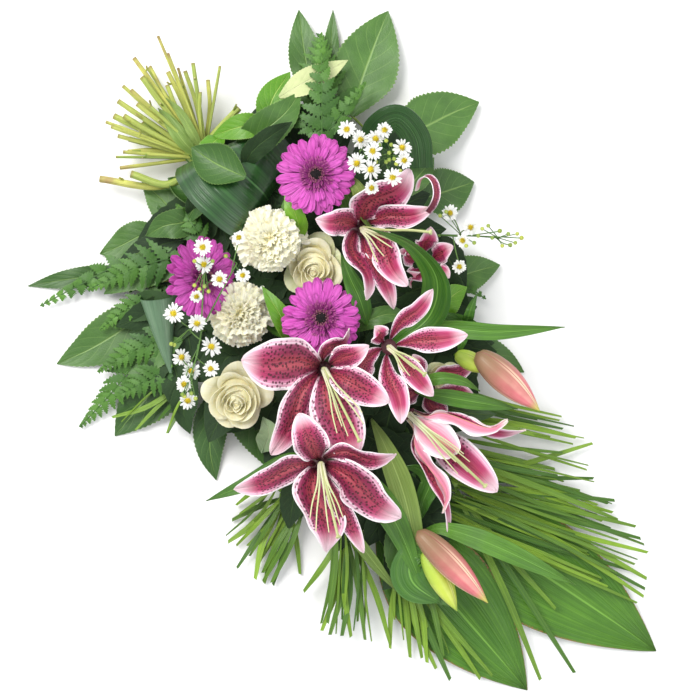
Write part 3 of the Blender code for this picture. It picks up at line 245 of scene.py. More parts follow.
class Piece:
    """Sheets, rods and grown meshes gathered for one node, with a map that runs across and along each."""

    def __init__(self, name):
        self.name = name
        self.points, self.faces, self.maps, self.looks, self.tones = [], [], [], [], []
        self.count = 0

    def quads(self, first, second, third, fourth, maps, look, tone):
        """Faces from four arrays of point numbers and the map of their four corners."""
        corners = np.stack([np.ravel(a) for a in (first, second, third, fourth)], axis=1)
        self.faces.extend(map(tuple, corners.tolist()))
        self.maps.append(np.stack([m.reshape(-1, 2) for m in maps], axis=1).reshape(-1, 2))
        self.looks.extend([look] * len(corners))
        self.tones.extend([tone] * len(corners))

    def skin(self, grid, look, tone, under=False, wrap=False):
        """One layer of a sheet or the wall of a rod. Returns the number of each of its points."""
        high, wide = grid.shape[0], grid.shape[1]
        index = self.count + np.arange(high * wide).reshape(high, wide)
        self.points.append(grid.reshape(-1, 3))
        self.count += high * wide
        across = np.linspace(0, 1, wide + 1 if wrap else wide)
        along = np.linspace(0, 1, high)
        spread = np.stack(np.meshgrid(across, along), axis=2)
        ring = np.concatenate([index, index[:, :1]], axis=1) if wrap else index
        a, b, c, d = ring[:-1, :-1], ring[1:, :-1], ring[1:, 1:], ring[:-1, 1:]
        m = (spread[:-1, :-1], spread[1:, :-1], spread[1:, 1:], spread[:-1, 1:])
        if under:
            self.quads(a, d, c, b, (m[0], m[3], m[2], m[1]), look, tone)
        else:
            self.quads(a, b, c, d, m, look, tone)
        return index

    def sheet(self, grid, look=0, under=None, wall=LEAF_WALL, tone=None):
        """A leaf or petal with real thickness: its face, its underside and its rim."""
        tone = rng.random() if tone is None else tone
        under = look if under is None else under
        normal = np.cross(np.gradient(grid, axis=0), np.gradient(grid, axis=1))
        normal /= np.maximum(np.linalg.norm(normal, axis=2, keepdims=True), 1e-12)
        top = self.skin(grid + normal * 0.5 * wall * MM, look, tone)
        low = self.skin(grid - normal * 0.5 * wall * MM, under, tone, under=True)
        rows, cols = grid.shape[0] - 1, grid.shape[1] - 1
        border = [(k, 0) for k in range(rows)] + [(rows, c) for c in range(cols)]
        border += [(k, cols) for k in range(rows, 0, -1)] + [(0, c) for c in range(cols, 0, -1)]
        spots = np.array([(c / cols, k / rows) for k, c in border])
        upper = np.array([top[spot] for spot in border])
        lower = np.array([low[spot] for spot in border])
        after = np.roll(np.arange(len(border)), -1)
        turned = spots[after]
        self.quads(upper, lower, lower[after], upper[after], (spots, spots, turned, turned), look, tone)

    def rod(self, points, radii, look=0, sides=8, tone=None, end_look=None, lobes=0.0):
        """A round stem through these places, closed at both ends, or one with three lobes."""
        tone = rng.random() if tone is None else tone
        count = len(points)
        radii = [radii] * count if isinstance(radii, (int, float)) else radii
        normal = Vector((0.13, 0.21, 1))
        grid = np.zeros((count, sides, 3))
        for k in range(count):
            tangent = (points[min(k + 1, count - 1)] - points[max(k - 1, 0)]).normalized()
            normal = (normal - tangent * normal.dot(tangent)).normalized()
            side = normal.cross(tangent)
            for c in range(sides):
                angle = math.tau * c / sides
                reach = radii[k] * (1 + lobes * math.cos(3 * angle)) * MM
                grid[k, c] = points[k] + (side * math.cos(angle) - normal * math.sin(angle)) * reach
        index = self.skin(grid, look, tone, wrap=True)
        for ring, v in ((index[0], 0.0), (index[-1][::-1], 1.0)):
            self.faces.append(tuple(int(i) for i in ring))
            self.maps.append(np.array([(0.5, v)] * sides))
            self.looks.append(look if end_look is None else end_look)
            self.tones.append(tone)

    def mesh(self, mesh, place, look=0, tone=None, copies=1, climb=0.0):
        """A grown mesh, moved to its place. Each of its copies has a tone near the given one.

        The climb is for a frond, whose leaflets get brighter towards its tip.
        """
        tone = rng.random() if tone is None else tone
        mesh.transform(place)
        start = self.count
        points = np.empty(len(mesh.vertices) * 3)
        mesh.vertices.foreach_get("co", points)
        self.points.append(points.reshape(-1, 3))
        self.count += len(mesh.vertices)
        self.faces.extend(tuple(start + i for i in face.vertices) for face in mesh.polygons)
        maps = np.zeros(len(mesh.loops) * 2, np.float32)
        if "across_along" in mesh.attributes:
            mesh.attributes["across_along"].data.foreach_get("vector", maps)
        self.maps.append(maps.reshape(-1, 2))
        self.looks.extend([look] * len(mesh.polygons))
        each = math.ceil(len(mesh.polygons) / copies)
        shades = [tone + (0.4 * (rng.random() - 0.5) if copies > 1 else 0) for _ in range(copies)]
        shades = [shade + climb * (2 * k / copies % 1) for k, shade in enumerate(shades)]
        self.tones.extend(shades[k // each] for k in range(len(mesh.polygons)))
        bpy.data.meshes.remove(mesh)

    def plain(self):
        """A mesh of all that was gathered, with its map."""
        mesh = bpy.data.meshes.new(self.name)
        mesh.from_pydata(np.concatenate(self.points).tolist(), [], self.faces)
        layer = mesh.uv_layers.new(name="across_along")
        layer.data.foreach_set("uv", np.concatenate(self.maps).astype(np.float32).ravel())
        return mesh

    def build(self, looks, slot, *nodes):
        """The finished object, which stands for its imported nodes."""
        mesh = self.plain()
        tone = mesh.attributes.new("tone", "FLOAT", "FACE")
        tone.data.foreach_set("value", np.array(self.tones, np.float32))
        mesh.polygons.foreach_set("material_index", np.array(self.looks, np.int32))
        mesh.polygons.foreach_set("use_smooth", np.ones(len(mesh.polygons), bool))
        for look in looks:
            mesh.materials.append(look)
        mesh.set_sharp_from_angle(angle=CREASE)
        mesh.update()
        made = bpy.data.objects.new(self.name, mesh)
        bpy.context.scene.collection.objects.link(made)
        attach(made, "root")
        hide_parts(*nodes)


# Geometry Nodes that repeat one petal, floret or leaflet by a rule


def geometry_tree(name, inputs):
    """A Geometry Nodes tree with these named inputs, and its start and end."""
    tree = bpy.data.node_groups.new(name, "GeometryNodeTree")
    tree.interface.new_socket("Geometry", in_out="INPUT", socket_type="NodeSocketGeometry")
    for label, (kind, value) in inputs.items():
        socket = tree.interface.new_socket(label, in_out="INPUT", socket_type="NodeSocket" + kind)
        if value is not None:
            socket.default_value = value
    tree.interface.new_socket("Geometry", in_out="OUTPUT", socket_type="NodeSocketGeometry")
    return tree, tree.nodes.new("NodeGroupInput"), tree.nodes.new("NodeGroupOutput")


def put(tree, kind, values=None, **settings):
    """A node with its settings and its inputs, each a plain value or the output of another node."""
    made = tree.nodes.new(kind)
    for key, value in settings.items():
        setattr(made, key, value)
    for key, value in (values or {}).items():
        socket = made.inputs[key]
        if isinstance(value, bpy.types.NodeSocket):
            tree.links.new(value, socket)
        else:
            socket.default_value = value
    return made


def maths(tree, operation, first, second=0.0, third=0.0):
    return put(tree, "ShaderNodeMath", {0: first, 1: second, 2: third}, operation=operation).outputs[0]


def blend(tree, share, first, second):
    """A number between two others."""
    return put(tree, "ShaderNodeMix", {0: share, 2: first, 3: second}).outputs[0]


def chance(tree, seed):
    """A random number from -1 to 1 for each point."""
    return put(tree, "FunctionNodeRandomValue", {2: -1.0, 3: 1.0, "Seed": seed}).outputs[1]


def scaled(tree, vector, size):
    return put(tree, "ShaderNodeVectorMath", {0: vector, "Scale": size}, operation="SCALE").outputs[0]


def whorl_tree():
    """Petals or florets round an axis: in a ring, or in a golden spiral that climbs a dome."""
    tree, given, result = geometry_tree("whorl", {
        "Count": ("Int", 12), "Turn": ("Float", GOLDEN_TURN), "Reach Inner": ("Float", 0.0),
        "Reach Outer": ("Float", 0.01), "Height Inner": ("Float", 0.0), "Height Outer": ("Float", 0.0),
        "Tilt Inner": ("Float", 0.0), "Tilt Outer": ("Float", 0.0), "Size Inner": ("Float", 1.0),
        "Size Outer": ("Float", 1.0), "Jitter": ("Float", 0.1), "Ruffle": ("Float", 0.0),
        "Ruffle Size": ("Float", 0.01), "Seed": ("Int", 1), "Look": ("Material", None),
    })
    sizes = given.outputs
    do, node = partial(maths, tree), partial(put, tree)
    number = node("GeometryNodeInputIndex").outputs[0]
    share = do("DIVIDE", number, do("MAXIMUM", do("SUBTRACT", sizes["Count"], 1.0), 1.0))
    angle = do("MULTIPLY", number, sizes["Turn"])
    angle = do("MULTIPLY_ADD", chance(tree, sizes["Seed"]), sizes["Jitter"], angle)
    reach = blend(tree, do("SQRT", share), sizes["Reach Inner"], sizes["Reach Outer"])
    height = blend(tree, share, sizes["Height Inner"], sizes["Height Outer"])
    place = node("ShaderNodeCombineXYZ", {
        0: do("MULTIPLY", do("COSINE", angle), reach),
        1: do("MULTIPLY", do("SINE", angle), reach), 2: height}).outputs[0]
    seed = do("ADD", sizes["Seed"], 17.0)
    tilt = blend(tree, share, sizes["Tilt Inner"], sizes["Tilt Outer"])
    tilt = do("MULTIPLY_ADD", chance(tree, seed), sizes["Jitter"], tilt)
    roll = do("MULTIPLY", chance(tree, do("ADD", sizes["Seed"], 29.0)), sizes["Jitter"])
    turn = node("ShaderNodeCombineXYZ", {0: roll, 1: do("MULTIPLY", tilt, -1.0), 2: angle}).outputs[0]
    size = blend(tree, share, sizes["Size Inner"], sizes["Size Outer"])
    grow = do("MULTIPLY", chance(tree, do("ADD", sizes["Seed"], 41.0)), sizes["Jitter"])
    size = do("MULTIPLY", size, do("ADD", 1.0, grow))
    points = node("GeometryNodePoints", {"Count": sizes["Count"], "Position": place}).outputs[0]
    copies = node("GeometryNodeInstanceOnPoints", {
        "Points": points, "Instance": sizes["Geometry"],
        "Rotation": node("FunctionNodeEulerToRotation", {0: turn}).outputs[0], "Scale": size}).outputs[0]
    real = node("GeometryNodeRealizeInstances", {"Geometry": copies}).outputs[0]
    here = node("GeometryNodeInputPosition").outputs[0]
    close = scaled(tree, here, do("DIVIDE", 1.0, sizes["Ruffle Size"]))
    moved = node("ShaderNodeVectorMath", {0: close, 1: (3.7, 1.1, 0.0)}, operation="ADD").outputs[0]
    cloud = node("ShaderNodeTexNoise", {"Vector": moved, "Scale": 1.0, "Detail": 1.0}).outputs["Color"]
    centred = node("ShaderNodeVectorMath", {0: cloud, 1: (0.5, 0.5, 0.5)}, operation="SUBTRACT").outputs[0]
    shift = scaled(tree, centred, sizes["Ruffle"])
    bent = node("GeometryNodeSetPosition", {"Geometry": real, "Offset": shift}).outputs[0]
    done = node("GeometryNodeSetMaterial", {"Geometry": bent, "Material": sizes["Look"]}).outputs[0]
    tree.links.new(done, result.inputs[0])
    return tree


def frond_tree():
    """Leaflets on both sides of a rib, each turned along it and sized by the outline of the frond."""
    tree, given, result = geometry_tree("frond", {
        "Leaflet": ("Object", None), "Pairs": ("Int", 12), "Breadth": ("Float", 0.03),
        "Spread": ("Float", 1.1),
        "Rib": ("Float", 0.001), "Foot Share": ("Float", 0.5), "Jitter": ("Float", 0.08), "Seed": ("Int", 1),
        "Width": ("Float", 0.02), "Look": ("Material", None),
    })
    sizes = given.outputs
    do, node = partial(maths, tree), partial(put, tree)
    number = node("GeometryNodeInputIndex").outputs[0]
    rest = do("SUBTRACT", 1.0, do("DIVIDE", number, sizes["Pairs"]))
    along = do("SUBTRACT", 1.0, do("POWER", rest, 1.5))
    sample = node("GeometryNodeSampleCurve", {"Curves": sizes["Geometry"], "Factor": along}, mode="FACTOR")
    spots = node("GeometryNodePoints", {"Count": sizes["Pairs"], "Position": sample.outputs["Position"]})
    ahead = node("ShaderNodeSeparateXYZ", {0: sample.outputs["Tangent"]}).outputs
    heading = do("ARCTAN2", ahead[1], ahead[0])
    taper = do("SUBTRACT", 1.0, along)
    wide = do("MINIMUM", 1.0, do("MULTIPLY_ADD", along, 4.0, sizes["Foot Share"]))
    long = do("MULTIPLY", sizes["Breadth"], do("MULTIPLY_ADD", wide, taper, 0.07))
    broad = do("MULTIPLY", sizes["Width"], do("SQRT", rest))
    size = node("ShaderNodeCombineXYZ", {0: long, 1: broad, 2: long}).outputs[0]
    leaflet = node("GeometryNodeObjectInfo", {"Object": sizes["Leaflet"]}).outputs["Geometry"]
    sides = []
    for side in (-1.0, 1.0):
        seed = do("ADD", sizes["Seed"], 5.0 * side)
        wider = do("MULTIPLY", sizes["Spread"], do("MULTIPLY_ADD", rest, 0.4, 0.65))
        spread = do("MULTIPLY_ADD", chance(tree, seed), sizes["Jitter"], wider)
        facing = do("MULTIPLY_ADD", spread, side, heading)
        droop = do("MULTIPLY_ADD", chance(tree, do("ADD", seed, 60.0)), sizes["Jitter"], 0.1)
        lean = do("MULTIPLY", chance(tree, do("ADD", seed, 90.0)), 0.25)
        turn = node("ShaderNodeCombineXYZ", {0: lean, 1: droop, 2: facing}).outputs[0]
        sides.append(node("GeometryNodeInstanceOnPoints", {
            "Points": spots.outputs[0], "Instance": leaflet,
            "Rotation": node("FunctionNodeEulerToRotation", {0: turn}).outputs[0], "Scale": size}).outputs[0])
    ring = node("GeometryNodeCurvePrimitiveCircle", {"Resolution": 6, "Radius": sizes["Rib"]}).outputs[0]
    rib = node("GeometryNodeCurveToMesh", {"Curve": sizes["Geometry"], "Profile Curve": ring,
                                                "Fill Caps": True}).outputs[0]
    both = tree.nodes.new("GeometryNodeJoinGeometry")
    for made in (*sides, rib):
        tree.links.new(made, both.inputs[0])
    real = node("GeometryNodeRealizeInstances", {"Geometry": both.outputs[0]}).outputs[0]
    done = node("GeometryNodeSetMaterial", {"Geometry": real, "Material": sizes["Look"]}).outputs[0]
    tree.links.new(done, result.inputs[0])
    return tree


def grow(shape, tree, **values):
    """The plain mesh that a tree makes of this shape with these sizes."""
    made = bpy.data.objects.new("shape", shape)
    bpy.context.scene.collection.objects.link(made)
    growing = made.modifiers.new("Grow", "NODES")
    growing.node_group = tree
    sockets = {item.name: item.identifier for item in tree.interface.items_tree if item.in_out == "INPUT"}
    for label, value in values.items():
        growing[sockets[label.replace("_", " ")]] = value
    graph = bpy.context.evaluated_depsgraph_get()
    mesh = bpy.data.meshes.new_from_object(made.evaluated_get(graph))
    made.modifiers.remove(growing)
    bpy.data.objects.remove(made)
    return mesh


def mesh_of(grid, wall):
    """A plain mesh of one thin sheet, to be repeated by a tree."""
    sheet = Piece("repeat")
    sheet.sheet(grid, wall=wall, tone=0.5)
    return sheet.plain()


WHORL = whorl_tree()
FROND = frond_tree()


def whorl(shape, count, look, seed, reach, height, tilt, jitter, size=(1.0, 1.0), turn=GOLDEN_TURN,
          ruffle=(0.0, 10.0)):
    """Copies of one petal round an axis. Reach, height, tilt and size go from the inner to the outer ones."""
    pairs = {"Reach": [d * MM for d in reach], "Height": [d * MM for d in height], "Tilt": tilt, "Size": size}
    values = {f"{label}_{end}": pair[k]
              for label, pair in pairs.items() for k, end in enumerate(("Inner", "Outer"))}
    return grow(shape, WHORL, Count=count, Turn=turn, Jitter=jitter, Ruffle=ruffle[0] * MM,
                Ruffle_Size=ruffle[1] * MM, Seed=seed, Look=look, **values)


# Shader node groups: effects that several of the finishes share


def shader_group(name, inputs, outputs):
    tree = bpy.data.node_groups.new(name, "ShaderNodeTree")
    for label, value in inputs.items():
        tree.interface.new_socket(label, in_out="INPUT", socket_type="NodeSocketFloat").default_value = value
    for label in outputs:
        tree.interface.new_socket(label, in_out="OUTPUT", socket_type="NodeSocketFloat")
    return tree, tree.nodes.new("NodeGroupInput").outputs, tree.nodes.new("NodeGroupOutput").inputs


def remap(tree, value, low, high):
    """A smooth step from 0 to 1 where a value goes from low to high."""
    step = put(tree, "ShaderNodeMapRange", {0: value, 1: low, 2: high}, interpolation_type="SMOOTHSTEP")
    return step.outputs[0]


def own_map(tree):
    """Across and along the leaf or petal, both from 0 to 1."""
    spot = put(tree, "ShaderNodeUVMap", uv_map="across_along").outputs[0]
    return put(tree, "ShaderNodeSeparateXYZ", {0: spot}).outputs


def mottling_group():
    """Uneven growth: wide soft patches and fine specks."""
    tree, given, result = shader_group("mottling", {"Patch Size": 0.02, "Speck Size": 0.0015},
                                       ("Patches", "Specks"))
    here = put(tree, "ShaderNodeTexCoord").outputs["Object"]
    for label in ("Patch", "Speck"):
        close = maths(tree, "DIVIDE", 1.0, given[label + " Size"])
        cloud = put(tree, "ShaderNodeTexNoise", {"Vector": here, "Scale": close,
                                                 "Detail": 3.0}).outputs["Fac"]
        tree.links.new(remap(tree, cloud, 0.3, 0.7), result["Patches" if label == "Patch" else "Specks"])
    return tree


def branching_group():
    """The ribs of a broad leaf: a midrib and side ribs that run out from it to the edge."""
    tree, given, result = shader_group(
        "branching_ribs", {"Side Ribs": 9.0, "Slant": 0.25, "Midrib": 0.05, "Side Rib": 0.1},
        ("Midrib", "Side Ribs", "Swell"))
    spot = own_map(tree)
    do = partial(maths, tree)
    side = do("MULTIPLY_ADD", spot[0], 2.0, -1.0)
    across = do("ABSOLUTE", side)
    along = do("SUBTRACT", spot[1], do("MULTIPLY", across, given["Slant"]))
    shift = do("MULTIPLY", do("GREATER_THAN", side, 0.0), 0.45)
    row = do("FRACT", do("MULTIPLY_ADD", along, given["Side Ribs"], shift))
    near = do("MULTIPLY", do("ABSOLUTE", do("SUBTRACT", row, 0.5)), 2.0)
    fade = remap(tree, across, 1.0, 0.55)
    rib = do("MULTIPLY", remap(tree, near, given["Side Rib"], 0.0), fade)
    tree.links.new(remap(tree, across, given["Midrib"], 0.0), result["Midrib"])
    tree.links.new(rib, result["Side Ribs"])
    tree.links.new(do("MULTIPLY", remap(tree, near, 0.0, 1.0), fade), result["Swell"])
    return tree


def parallel_group():
    """Ribs that run the length of a narrow leaf, petal or stem, uneven in strength."""
    tree, given, result = shader_group("parallel_ribs", {"Lines": 20.0, "Wander": 0.4}, ("Lines", "Fine"))
    spot = own_map(tree)
    stretched = put(tree, "ShaderNodeCombineXYZ", {
        0: maths(tree, "MULTIPLY", spot[0], given["Lines"]),
        1: maths(tree, "MULTIPLY", spot[1], given["Wander"])})
    cloud = put(tree, "ShaderNodeTexNoise", {"Vector": stretched.outputs[0], "Scale": 1.0, "Detail": 2.0})
    tree.links.new(remap(tree, cloud.outputs["Fac"], 0.35, 0.65), result["Lines"])
    fine = scaled(tree, stretched.outputs[0], 4.0)
    cloud = put(tree, "ShaderNodeTexNoise", {"Vector": fine, "Scale": 1.0, "Detail": 1.0})
    tree.links.new(remap(tree, cloud.outputs["Fac"], 0.3, 0.7), result["Fine"])
    return tree


MOTTLING = mottling_group()
BRANCHING = branching_group()
PARALLEL = parallel_group()


class Finish:
    """A material written from its shader back, whose colour is built up in layers."""

    def __init__(self, name, roughness=0.5, coat=0.0):
        self.made = bpy.data.materials.new(name)
        self.made.use_nodes = True
        self.tree = self.made.node_tree
        self.shader = self.tree.nodes["Principled BSDF"]
        self.shader.inputs["Roughness"].default_value = roughness
        self.shader.inputs["Coat Weight"].default_value = coat
        self.shader.inputs["Coat Roughness"].default_value = 0.3
        self.colour = None
        spot = own_map(self.tree)
        self.across, self.along = spot[0], spot[1]
        self.side = maths(self.tree, "ABSOLUTE", maths(self.tree, "MULTIPLY_ADD", self.across, 2.0, -1.0))
        self.tone = put(self.tree, "ShaderNodeAttribute", attribute_name="tone").outputs["Fac"]

    def group(self, tree, **values):
        named = {key.replace("_", " "): value for key, value in values.items()}
        return put(self.tree, "ShaderNodeGroup", named, node_tree=tree).outputs

    def maths(self, *given):
        return maths(self.tree, *given)

    def times(self, first, second):
        return maths(self.tree, "MULTIPLY", first, second)

    def step(self, value, low, high):
        return remap(self.tree, value, low, high)

    def layer(self, share, colour, strength=1.0):
        """Lays a colour over what is there, by a mask and a strength that may be a mask too."""
        colour = (*colour, 1.0) if isinstance(colour, tuple) else colour
        if self.colour is None:
            self.colour = colour
            return
        share = maths(self.tree, "MULTIPLY", share, strength)
        mixed = put(self.tree, "ShaderNodeMix", {0: share, 6: self.colour, 7: colour}, data_type="RGBA",
                    clamp_factor=True)
        self.colour = mixed.outputs[2]

    def relief(self, height, depth):
        """Raises the surface by a mask, this many millimetres."""
        bump = put(self.tree, "ShaderNodeBump", {"Height": height, "Distance": depth * MM, "Strength": 1.0})
        if self.shader.inputs["Normal"].is_linked:
            self.tree.links.new(self.shader.inputs["Normal"].links[0].from_socket, bump.inputs["Normal"])
        self.tree.links.new(bump.outputs[0], self.shader.inputs["Normal"])

    def translucent(self, share, depth=3.0):
        """Lets light wander in the petal, this many millimetres deep."""
        self.shader.inputs["Subsurface Weight"].default_value = share
        self.shader.inputs["Subsurface Scale"].default_value = depth * MM
        self.shader.inputs["Subsurface Radius"].default_value = (1.0, 0.8, 0.6)

    def done(self):
        self.tree.links.new(self.colour, self.shader.inputs["Base Color"])
        return self.made


def broad_leaf(name, dark, bright, rib, gloss):
    """A leaf with a midrib and branching side ribs, quilted between them."""
    made = Finish(name, gloss)
    made.layer(None, dark)
    made.layer(made.tone, bright)
    spots = made.group(MOTTLING, Patch_Size=0.016, Speck_Size=0.0012)
    made.layer(spots["Patches"], dark, 0.45)
    ribs = made.group(BRANCHING, Side_Ribs=7.0, Slant=0.3, Midrib=0.06, Side_Rib=0.12)
    made.layer(ribs["Side Ribs"], rib, 0.3)
    made.layer(ribs["Midrib"], rib, 0.75)
    made.layer(made.step(made.side, 0.93, 1.0), rib, 0.35)
    made.layer(spots["Specks"], tuple(min(1.0, 1.3 * c) for c in bright), 0.16)
    made.relief(ribs["Swell"], 0.1)
    made.relief(ribs["Midrib"], -0.35)
    made.relief(spots["Specks"], 0.1)
    return made.done()


def long_leaf(name, dark, bright, gloss, lines, midrib=0.0, edge=None, coat=0.0, depth=0.3, vein_share=0.5):
    """A leaf with ribs along it, and a coloured edge where it has one."""
    made = Finish(name, gloss, coat)
    made.layer(None, dark)
    made.layer(made.tone, bright, 0.8)
    ribs = made.group(PARALLEL, Lines=lines, Wander=0.6)
    spots = made.group(MOTTLING, Patch_Size=0.03, Speck_Size=0.0015)
    made.layer(ribs["Lines"], bright, vein_share)
    made.layer(ribs["Fine"], tuple(0.6 * c for c in dark), 0.4)
    made.layer(spots["Patches"], tuple(0.7 * c for c in dark), 0.3)
    if midrib:
        pale = tuple(min(1.0, 1.25 * c + 0.03) for c in bright)
        made.layer(made.step(made.side, midrib, 0.3 * midrib), pale, 0.75)
    if edge:
        ragged = made.maths("MULTIPLY_ADD", spots["Specks"], 0.05, made.side)
        made.layer(made.step(ragged, 0.985, 1.03), edge, 0.8)
    made.relief(ribs["Lines"], depth)
    made.relief(ribs["Fine"], 0.4 * depth)
    return made.done()


def tepal_finish(name):
    """The face of a lily tepal, from pink to wine by its tone, with a white margin and dark raised spots."""
    made = Finish(name, 0.42)
    ribs = made.group(PARALLEL, Lines=14.0, Wander=0.5)
    spots = made.group(MOTTLING, Patch_Size=0.012, Speck_Size=0.0009)
    deep = made.step(made.tone, 0.0, 1.0)
    foot = made.step(made.along, 0.9, 0.45)
    ragged = made.maths("MULTIPLY_ADD", made.maths("SUBTRACT", ribs["Lines"], 0.5), 0.16, made.side)
    made.layer(None, (0.93, 0.88, 0.9))
    made.layer(made.step(ragged, 0.97, 0.68), (0.78, 0.27, 0.46))
    made.layer(made.step(ragged, 0.85, 0.4), (0.5, 0.035, 0.14))
    made.layer(made.times(made.step(ragged, 0.92, 0.5), foot), (0.17, 0.01, 0.05), deep)
    made.layer(made.times(made.step(ragged, 0.6, 0.2), foot), (0.26, 0.012, 0.05), 0.7)
    made.layer(made.times(made.step(made.side, 0.4, 0.12), made.step(made.along, 0.95, 0.5)),
               (0.52, 0.1, 0.1), 0.6)
    made.layer(made.step(made.side, 0.07, 0.01), (0.2, 0.008, 0.04), 0.7)
    made.layer(made.times(ribs["Fine"], made.step(made.side, 0.9, 0.4)),
               (0.22, 0.008, 0.05), 0.4)
    made.layer(made.step(made.along, 0.3, 0.1), (0.14, 0.006, 0.03), deep)
    cells = put(made.tree, "ShaderNodeCombineXYZ", {
        0: made.times(made.across, 11.0),
        1: made.maths("MULTIPLY_ADD", made.along, 27.0, made.times(made.tone, 40.0))})
    cell = put(made.tree, "ShaderNodeTexVoronoi", {"Vector": cells.outputs[0], "Scale": 1.0,
                                                   "Randomness": 0.8},
               voronoi_dimensions="2D")
    spot = made.step(cell.outputs["Distance"], 0.33, 0.2)
    end = made.maths("MULTIPLY_ADD", deep, 0.24, 0.5)
    past = made.maths("SUBTRACT", made.along, end)
    reach = made.times(made.step(past, 0.12, 0.0), made.step(made.side, 0.95, 0.84))
    spot = made.times(spot, reach)
    made.layer(spot, (0.05, 0.002, 0.01), 0.85)
    made.layer(made.step(made.along, 0.76, 1.0), (0.93, 0.76, 0.81), 0.8)
    made.relief(ribs["Lines"], 0.35)
    made.relief(spot, 0.5)
    made.relief(spots["Specks"], 0.12)
    return made.done()


def tepal_back_finish(name):
    """The back of a lily tepal: white margins, pink towards the middle and a yellowish rib."""
    made = Finish(name, 0.45)
    ribs = made.group(PARALLEL, Lines=11.0, Wander=0.4)
    made.layer(None, (0.92, 0.84, 0.86))
    made.layer(made.step(made.side, 0.98, 0.6), (0.84, 0.42, 0.53), 0.9)
    made.layer(made.step(made.side, 0.7, 0.1), (0.74, 0.17, 0.3), 0.75)
    made.layer(made.times(ribs["Lines"], made.step(made.side, 0.8, 0.2)),
               (0.66, 0.09, 0.2), 0.6)
    made.layer(made.step(made.side, 0.07, 0.02), (0.66, 0.42, 0.22), 0.8)
    made.layer(made.step(made.along, 0.22, 0.0), (0.6, 0.62, 0.3), 0.85)
    made.layer(made.step(made.along, 0.9, 1.0), (0.9, 0.85, 0.72), 0.8)
    made.relief(ribs["Lines"], 0.5)
    made.relief(made.step(made.side, 0.12, 0.0), 0.8)
    return made.done()


def petal_finish(name, base, shade, edge, gloss=0.55, lines=12.0, depth=0.25, root=None, tip=None,
                 edge_share=0.5, glow=0.0, tone_share=0.35):
    """A plain petal: fine ribs, a shaded foot and a paler or darker edge."""
    made = Finish(name, gloss)
    if glow:
        made.translucent(glow)
    ribs = made.group(PARALLEL, Lines=lines, Wander=0.5)
    spots = made.group(MOTTLING, Patch_Size=0.014, Speck_Size=0.001)
    made.layer(None, base)
    made.layer(made.tone, shade, tone_share)
    made.layer(ribs["Lines"], shade, 0.5)
    made.layer(spots["Patches"], edge, 0.25)
    made.layer(made.step(made.side, 0.7, 1.0), edge, edge_share)
    if root:
        made.layer(made.step(made.along, 0.5, 0.0), root, 0.85)
    if tip:
        made.layer(made.step(made.along, 0.75, 1.0), tip, 0.8)
    made.relief(ribs["Lines"], depth)
    made.relief(ribs["Fine"], 0.4 * depth)
    return made.done()


def stem_finish():
    """Cut stems: pale green with fine ribs, brown patches towards the end and a browned end."""
    made = Finish("stem_green", 0.5)
    ribs = made.group(PARALLEL, Lines=18.0, Wander=1.5)
    spots = made.group(MOTTLING, Patch_Size=0.02, Speck_Size=0.0012)
    made.layer(None, (0.2, 0.36, 0.05))
    made.layer(made.tone, (0.66, 0.66, 0.13))
    made.layer(ribs["Lines"], (0.56, 0.6, 0.16), 0.4)
    made.layer(spots["Patches"], (0.2, 0.3, 0.06), 0.35)
    made.layer(spots["Specks"], (0.3, 0.22, 0.07), 0.18)
    brown = made.times(made.step(made.along, 0.6, 1.0), spots["Patches"])
    made.layer(brown, (0.36, 0.22, 0.09), made.step(made.tone, 0.4, 0.9))
    made.layer(made.step(made.along, 0.95, 1.0), (0.24, 0.13, 0.05), 0.6)
    made.relief(ribs["Lines"], 0.4)
    made.relief(spots["Specks"], 0.15)
    return made.done()


def cut_end_finish():
    """The cut face of a stem: pale pith with brown patches and paler specks."""
    made = Finish("stem_cut", 0.7)
    spots = made.group(MOTTLING, Patch_Size=0.002, Speck_Size=0.0006)
    made.layer(None, (0.6, 0.56, 0.32))
    made.layer(spots["Patches"], (0.36, 0.24, 0.1), 0.7)
    made.layer(spots["Specks"], (0.7, 0.66, 0.42), 0.5)
    made.relief(spots["Specks"], 0.3)
    return made.done()


def disc_finish():
    """The near-black middle of a gerbera."""
    made = Finish("gerbera_disc", 0.75)
    spots = made.group(MOTTLING, Patch_Size=0.003, Speck_Size=0.0008)
    made.layer(None, (0.006, 0.004, 0.005))
    made.layer(spots["Patches"], (0.02, 0.006, 0.01), 0.6)
    made.relief(spots["Specks"], 0.2)
    return made.done()


def bud_finish(name, base, shade, rib, tip, foot):
    """A closed bud: soft stripes along it, seams between its tepals, other colours at its foot and tip."""
    made = Finish(name, 0.42)
    ribs = made.group(PARALLEL, Lines=16.0, Wander=0.5)
    spots = made.group(MOTTLING, Patch_Size=0.012, Speck_Size=0.001)
    made.layer(None, base)
    made.layer(ribs["Lines"], rib, 0.3)
    made.layer(spots["Patches"], shade, 0.3)
    made.layer(made.step(made.along, 0.8, 0.1), foot, 0.9)
    third = made.maths("FRACT", made.times(made.across, 3.0))
    seam = made.maths("ABSOLUTE", made.maths("SUBTRACT", third, 0.5))
    made.layer(made.step(seam, 0.14, 0.05), rib, made.step(made.along, 0.1, 0.7))
    made.layer(made.step(seam, 0.03, 0.0), shade, 0.9)
    made.layer(made.step(made.along, 0.82, 1.0), tip, 0.9)
    made.relief(ribs["Lines"], 0.3)
    made.relief(made.step(seam, 0.04, 0.0), -0.5)
    return made.done()


